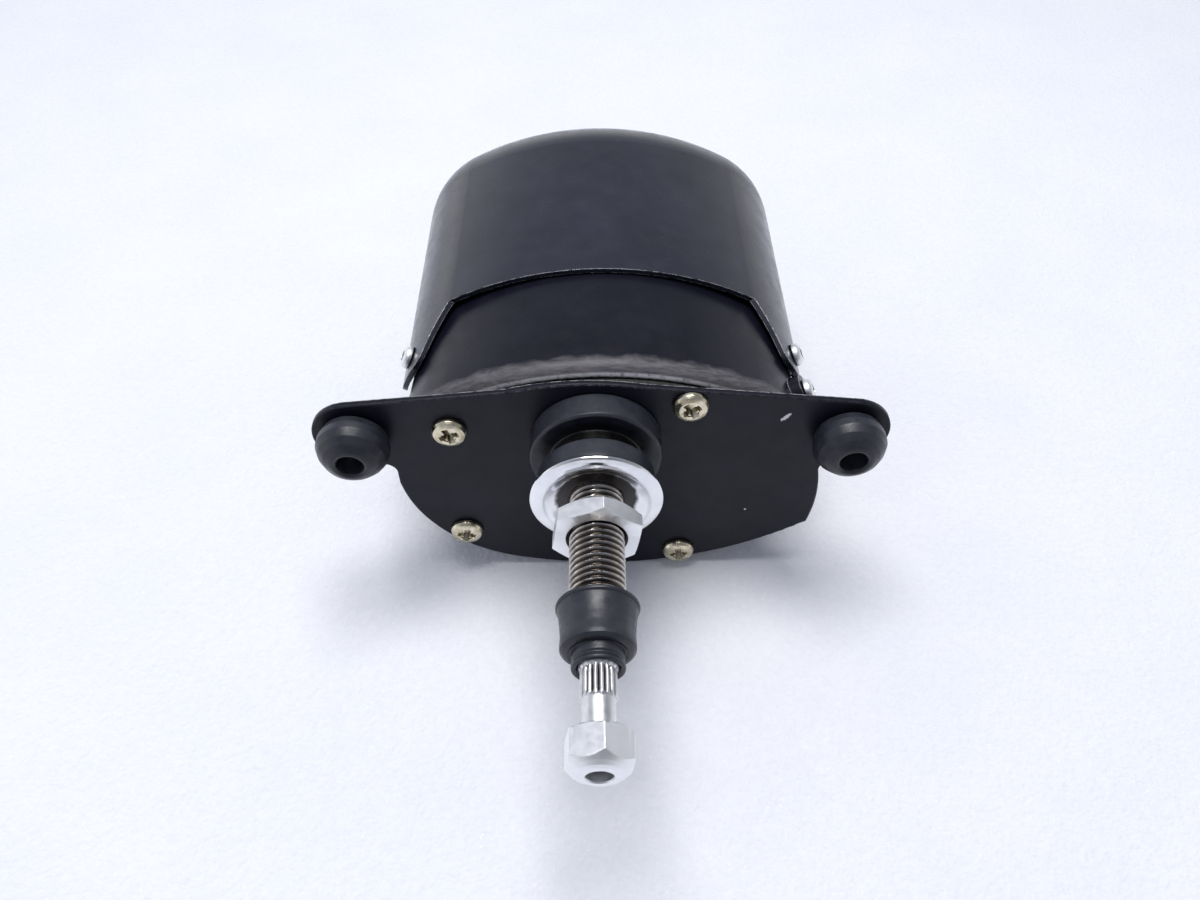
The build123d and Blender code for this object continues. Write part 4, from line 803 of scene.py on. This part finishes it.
def add_nuts(materials):
    """The thin nut on the bush and the arm's domed cap nut on the spindle."""
    back, front = MOUNTING_NUT_BACK_Y, MOUNTING_NUT_FRONT_Y
    flat = MOUNTING_NUT_FLAT
    outer = [(back, flat - 0.4), (back - 1.2, flat * NUT_BLANK), (front + 0.62, flat * NUT_BLANK),
             (front, flat + 0.1)]
    outer = divided(outer, 0.16, closed=False)
    inner = [(front, BUSH_R + 0.75), (front + 0.6, BUSH_R + 0.05), (back - 0.6, BUSH_R + 0.05),
             (back, BUSH_R + 0.75)]
    hex_nut("mounting_nut_hex", flat, outer + inner, "housing", "mounting_nut", materials)

    back, front = ARM_NUT_BACK_Y, ARM_NUT_FRONT_Y
    flat = ARM_NUT_FLAT
    dome = [(front + 2.6, flat * NUT_BLANK), (front + 1.9, 6.25), (front + 1.1, 5.5),
            (front + 0.45, 4.65), (front + 0.1, 3.9), (front, 3.2)]
    dome = [tuple(Vector(a).lerp(Vector(b), k / DOME_STEPS)) for a, b in zip(dome, dome[1:])
            for k in range(DOME_STEPS)] + [dome[-1]]
    profile = [(back, SHANK_R + 0.05), (back, flat - 0.1), (back - 0.25, flat + 0.35),
               (back - 0.6, flat * NUT_BLANK)] + dome
    profile += [(front + 0.1, ARM_NUT_HOLE_R + 0.15), (front + 0.4, ARM_NUT_HOLE_R),
                (front + 2.2, ARM_NUT_HOLE_R), (front + 2.2, SHANK_R + 0.05)]
    hex_nut("arm_nut_cap", flat, profile, "spindle_group", "arm_nut", materials)


# ---------------------------------------------------------------- screws
def cross_cutter(size, depth):
    """A tapered cross for a Phillips recess, its mouth above z = 0."""
    bm = bmesh.new()
    # The half reach, half width and height of each arm's mouth and bottom.
    ends = ((size / 2, size * RECESS_MOUTH, 1.0),
            (size / 2 * RECESS_NARROWS, size * RECESS_BOTTOM, -depth))
    for turn in (0.0, math.pi / 2):
        cos, sin = math.cos(turn), math.sin(turn)
        top, low = [], []
        for sx, sy in ((-1, -1), (1, -1), (1, 1), (-1, 1)):
            for ring, (half, width, height) in zip((top, low), ends):
                x, y = sx * half, sy * width
                place = Vector((x * cos - y * sin, x * sin + y * cos, height))
                ring.append(bm.verts.new(place * MM))
        bm.faces.new(top)
        bm.faces.new(low[::-1])
        for i in range(4):
            j = (i + 1) % 4
            bm.faces.new((top[j], top[i], low[i], low[j]))
    bmesh.ops.recalc_face_normals(bm, faces=bm.faces)
    mesh = bpy.data.meshes.new("cross_cutter")
    bm.to_mesh(mesh)
    bm.free()
    return mesh


def screw_head(name, head_r, head_h, recess):
    """A pan head with its Phillips recess, axis along Z and seat at z = 0."""
    profile = [
        (0.0, head_r - 0.15), (0.25, head_r), (head_h * 0.45, head_r * 0.985),
        (head_h * 0.75, head_r * 0.88), (head_h * 0.93, head_r * 0.66), (head_h, head_r * 0.36),
    ]
    profile = rounded(profile, 0.3) + [(head_h, AXIS_R), (0.0, AXIS_R)]
    mesh = lathe_mesh(name, profile, segments=48)
    mesh.transform(Matrix.Rotation(math.pi / 2, 4, "X"))
    head = bpy.data.objects.new(name, mesh)
    tool_mesh = cross_cutter(recess, head_h * 0.82)
    tool_mesh.transform(Matrix.Translation((0, 0, head_h * MM)))
    tool = bpy.data.objects.new(name + "_tool", tool_mesh)
    for obj in (head, tool):
        bpy.context.scene.collection.objects.link(obj)
    carve = head.modifiers.new("recess", "BOOLEAN")
    carve.operation = "DIFFERENCE"
    carve.solver = "EXACT"
    carve.use_self = True
    carve.object = tool
    soften = head.modifiers.new("soft", "BEVEL")
    soften.width = 0.09 * MM
    soften.segments = 2
    soften.limit_method = "ANGLE"
    soften.angle_limit = math.radians(30)
    graph = bpy.context.evaluated_depsgraph_get()
    carved = bpy.data.meshes.new_from_object(head.evaluated_get(graph))
    for obj in (head, tool):
        bpy.data.objects.remove(obj)
    return carved


def add_screw(name, head, seat, out, turn, slot, node, materials):
    """Sets a copy of a head on its seat, its axis along out and turned about it."""
    mesh = head.copy()
    axis = Vector(out).normalized()
    lift = axis.to_track_quat("Z", "Y").to_matrix().to_4x4()
    spin = Matrix.Rotation(math.radians(turn), 4, "Z")
    mesh.transform(Matrix.Translation(Vector(seat) * MM) @ lift @ spin)
    finish_mesh(name, mesh, "housing", slot, materials, [node], 40)


def node_middle(node):
    """The middle of a CAD node's box, in millimetres."""
    low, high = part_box(node)
    return (low + high) / 2 / MM


def add_side_screws(materials):
    """The cover's two screws and the earth screw, their heads facing sideways."""
    head = screw_head("side_screw_head", SIDE_SCREW_HEAD_R, SIDE_SCREW_HEAD_H, SIDE_SCREW_RECESS)
    lean = math.radians(SIDE_SCREW_LEAN)
    for node, side, seat, turn in SIDE_SCREWS:
        out = (side * math.cos(lean), 0, math.sin(lean))
        add_screw(node + "_phillips", head, seat, out, turn, "zinc", node, materials)


def add_plate_screws(materials):
    """The plate's four screws, on the axes of the CAD ones."""
    head = screw_head("plate_screw_head", PLATE_SCREW_HEAD_R, PLATE_SCREW_HEAD_H,
                      PLATE_SCREW_RECESS)
    for index, turn in PLATE_SCREWS:
        node = "plate_screw_" + str(index)
        middle = node_middle(node)
        add_screw(node + "_phillips", head, (middle.x, 0, middle.z), (0, -1, 0), turn,
                  "yellow_zinc", node, materials)


# ---------------------------------------------------------------- surroundings
BACKDROP = (0.90, 0.925, 1.0)
FOAM_DARK = (0.88, 0.90, 0.96)
FOAM_LIGHT = (0.92, 0.935, 0.98)
FOAM_GRAIN = (0.60, 0.62, 0.70)
# The floor turns into the backdrop between these distances from the part, in millimetres.
FLOOR_FADE = (450.0, 1100.0)
FLOOR_HALF = 2.0

# The room's colour by height: from the horizon, and all below it, to nearly straight up.
ROOM_TONES = (
    (0.0, (1.0, 1.0, 1.0)), (0.12, (0.97, 0.98, 1.0)), (0.28, (0.62, 0.64, 0.70)),
    (0.48, (0.40, 0.42, 0.49)), (0.95, (0.27, 0.29, 0.36)),
)
# The room's strength from left to right, and from the camera's side to the back: the
# direction's letter, where the change begins and ends, and the strengths there.
ROOM_SIDES = (("X", -1.0, 1.0, 1.24, 0.69), ("Y", -1.0, -0.3, 0.32, 1.0))

LAMP_PLACE = Vector((-0.05, 0.125, 1.10))
LAMP_WIDTH = 0.66
LAMP_DEPTH = 0.52
LAMP_POWER = 11.0
LAMP_COLOUR = (1.0, 0.99, 0.98)


def add_floor():
    """A pale foam sheet, faintly lavender, with fine grain and painted glints in a few bright
    cells.
    """
    s = Shade("floor_foam")
    tone = s.mix(s.band(s.noise(40.0, 3.0), 0.3, 0.7), FOAM_DARK, FOAM_LIGHT)
    grain = s.band(s.noise(1.4, 4.0, 0.7), 0.30, 0.70, 0.0, 0.18)
    tone = s.mix(grain, tone, FOAM_GRAIN)
    # Painted glints: a few small cells turned white.
    painted_glint = s.math("MULTIPLY", s.band(s.cells(1.6), 0.16, 0.10),
                     s.band(s.noise(9.0, 3.0, 0.7), 0.54, 0.62))
    tone = s.mix(painted_glint, tone, (1.0, 1.0, 1.0))
    x = s.axis("X")
    y = s.axis("Y")
    away = s.length(x, y)
    far = s.band(away, *FLOOR_FADE)
    s.set("Base Color", s.mix(far, tone, 0.0))
    s.set("Emission Color", rgb(BACKDROP))
    s.set("Emission Strength", far)
    s.set("Roughness", 0.9)
    s.bump(s.noise(2.2, 4.0, 0.65), 0.35)
    s.bump(s.cells(1.1), 0.10)
    mesh = bpy.data.meshes.new("floor")
    half = FLOOR_HALF
    z = FLOOR_Z * MM
    corners = [(-half, -half, z), (half, -half, z), (half, half, z), (-half, half, z)]
    mesh.from_pydata(corners, [], [(0, 1, 2, 3)])
    mesh.materials.append(s.mat)
    floor = bpy.data.objects.new("floor", mesh)
    bpy.context.scene.collection.objects.link(floor)


def add_room():
    """A bright room, dimmer overhead and on the camera's side.

    The camera itself sees a plain pale backdrop in its place.
    """
    world = bpy.data.worlds.new("room")
    bpy.context.scene.world = world
    world.use_nodes = True
    nodes = world.node_tree.nodes
    links = world.node_tree.links
    nodes.clear()
    out = nodes.new("ShaderNodeOutputWorld")
    back = nodes.new("ShaderNodeBackground")
    coords = nodes.new("ShaderNodeTexCoord")
    split = nodes.new("ShaderNodeSeparateXYZ")
    ramp = nodes.new("ShaderNodeValToRGB")
    links.new(coords.outputs["Generated"], split.inputs[0])
    links.new(split.outputs["Z"], ramp.inputs[0])
    links.new(ramp.outputs[0], back.inputs["Color"])
    ramp.color_ramp.elements[1].position = ROOM_TONES[-1][0]
    for place, _ in ROOM_TONES[1:-1]:
        ramp.color_ramp.elements.new(place)
    for element, (_, colour) in zip(ramp.color_ramp.elements, ROOM_TONES):
        element.color = rgb(colour)
    share = nodes.new("ShaderNodeMath")
    share.operation = "MULTIPLY"
    for socket, (letter, low, high, to_low, to_high) in enumerate(ROOM_SIDES):
        node = nodes.new("ShaderNodeMapRange")
        links.new(split.outputs[letter], node.inputs["Value"])
        node.inputs["From Min"].default_value = low
        node.inputs["From Max"].default_value = high
        node.inputs["To Min"].default_value = to_low
        node.inputs["To Max"].default_value = to_high
        links.new(node.outputs["Result"], share.inputs[socket])
    links.new(share.outputs[0], back.inputs["Strength"])
    white = nodes.new("ShaderNodeBackground")
    white.inputs["Color"].default_value = rgb(BACKDROP)
    path = nodes.new("ShaderNodeLightPath")
    seen = nodes.new("ShaderNodeMixShader")
    links.new(path.outputs["Is Camera Ray"], seen.inputs[0])
    links.new(back.outputs[0], seen.inputs[1])
    links.new(white.outputs[0], seen.inputs[2])
    links.new(seen.outputs[0], out.inputs[0])


def add_lamp():
    """One soft box above, aimed at the origin, where the spindle's axis meets the plate."""
    box = bpy.data.lights.new("softbox", "AREA")
    box.shape = "RECTANGLE"
    box.size = LAMP_WIDTH
    box.size_y = LAMP_DEPTH
    box.energy = LAMP_POWER
    box.color = LAMP_COLOUR
    lamp = bpy.data.objects.new("softbox", box)
    lamp.location = LAMP_PLACE
    lamp.rotation_euler = (-Vector(lamp.location)).to_track_quat("-Z", "Y").to_euler()
    bpy.context.scene.collection.objects.link(lamp)


# ---------------------------------------------------------------- the scene
def main():
    bpy.context.scene.view_settings.view_transform = "Standard"
    materials = make_materials()
    dress_cad(materials)
    add_dust_boot(materials)
    add_panel_seal(materials)
    add_washer(materials)
    add_grommet("left", EAR_LEFT_X, materials)
    add_grommet("right", EAR_RIGHT_X, materials)
    add_bush(materials)
    add_spindle(materials)
    add_plate_screws(materials)
    add_side_screws(materials)
    add_nuts(materials)
    add_floor()
    add_room()
    add_lamp()
    add_camera()


main()
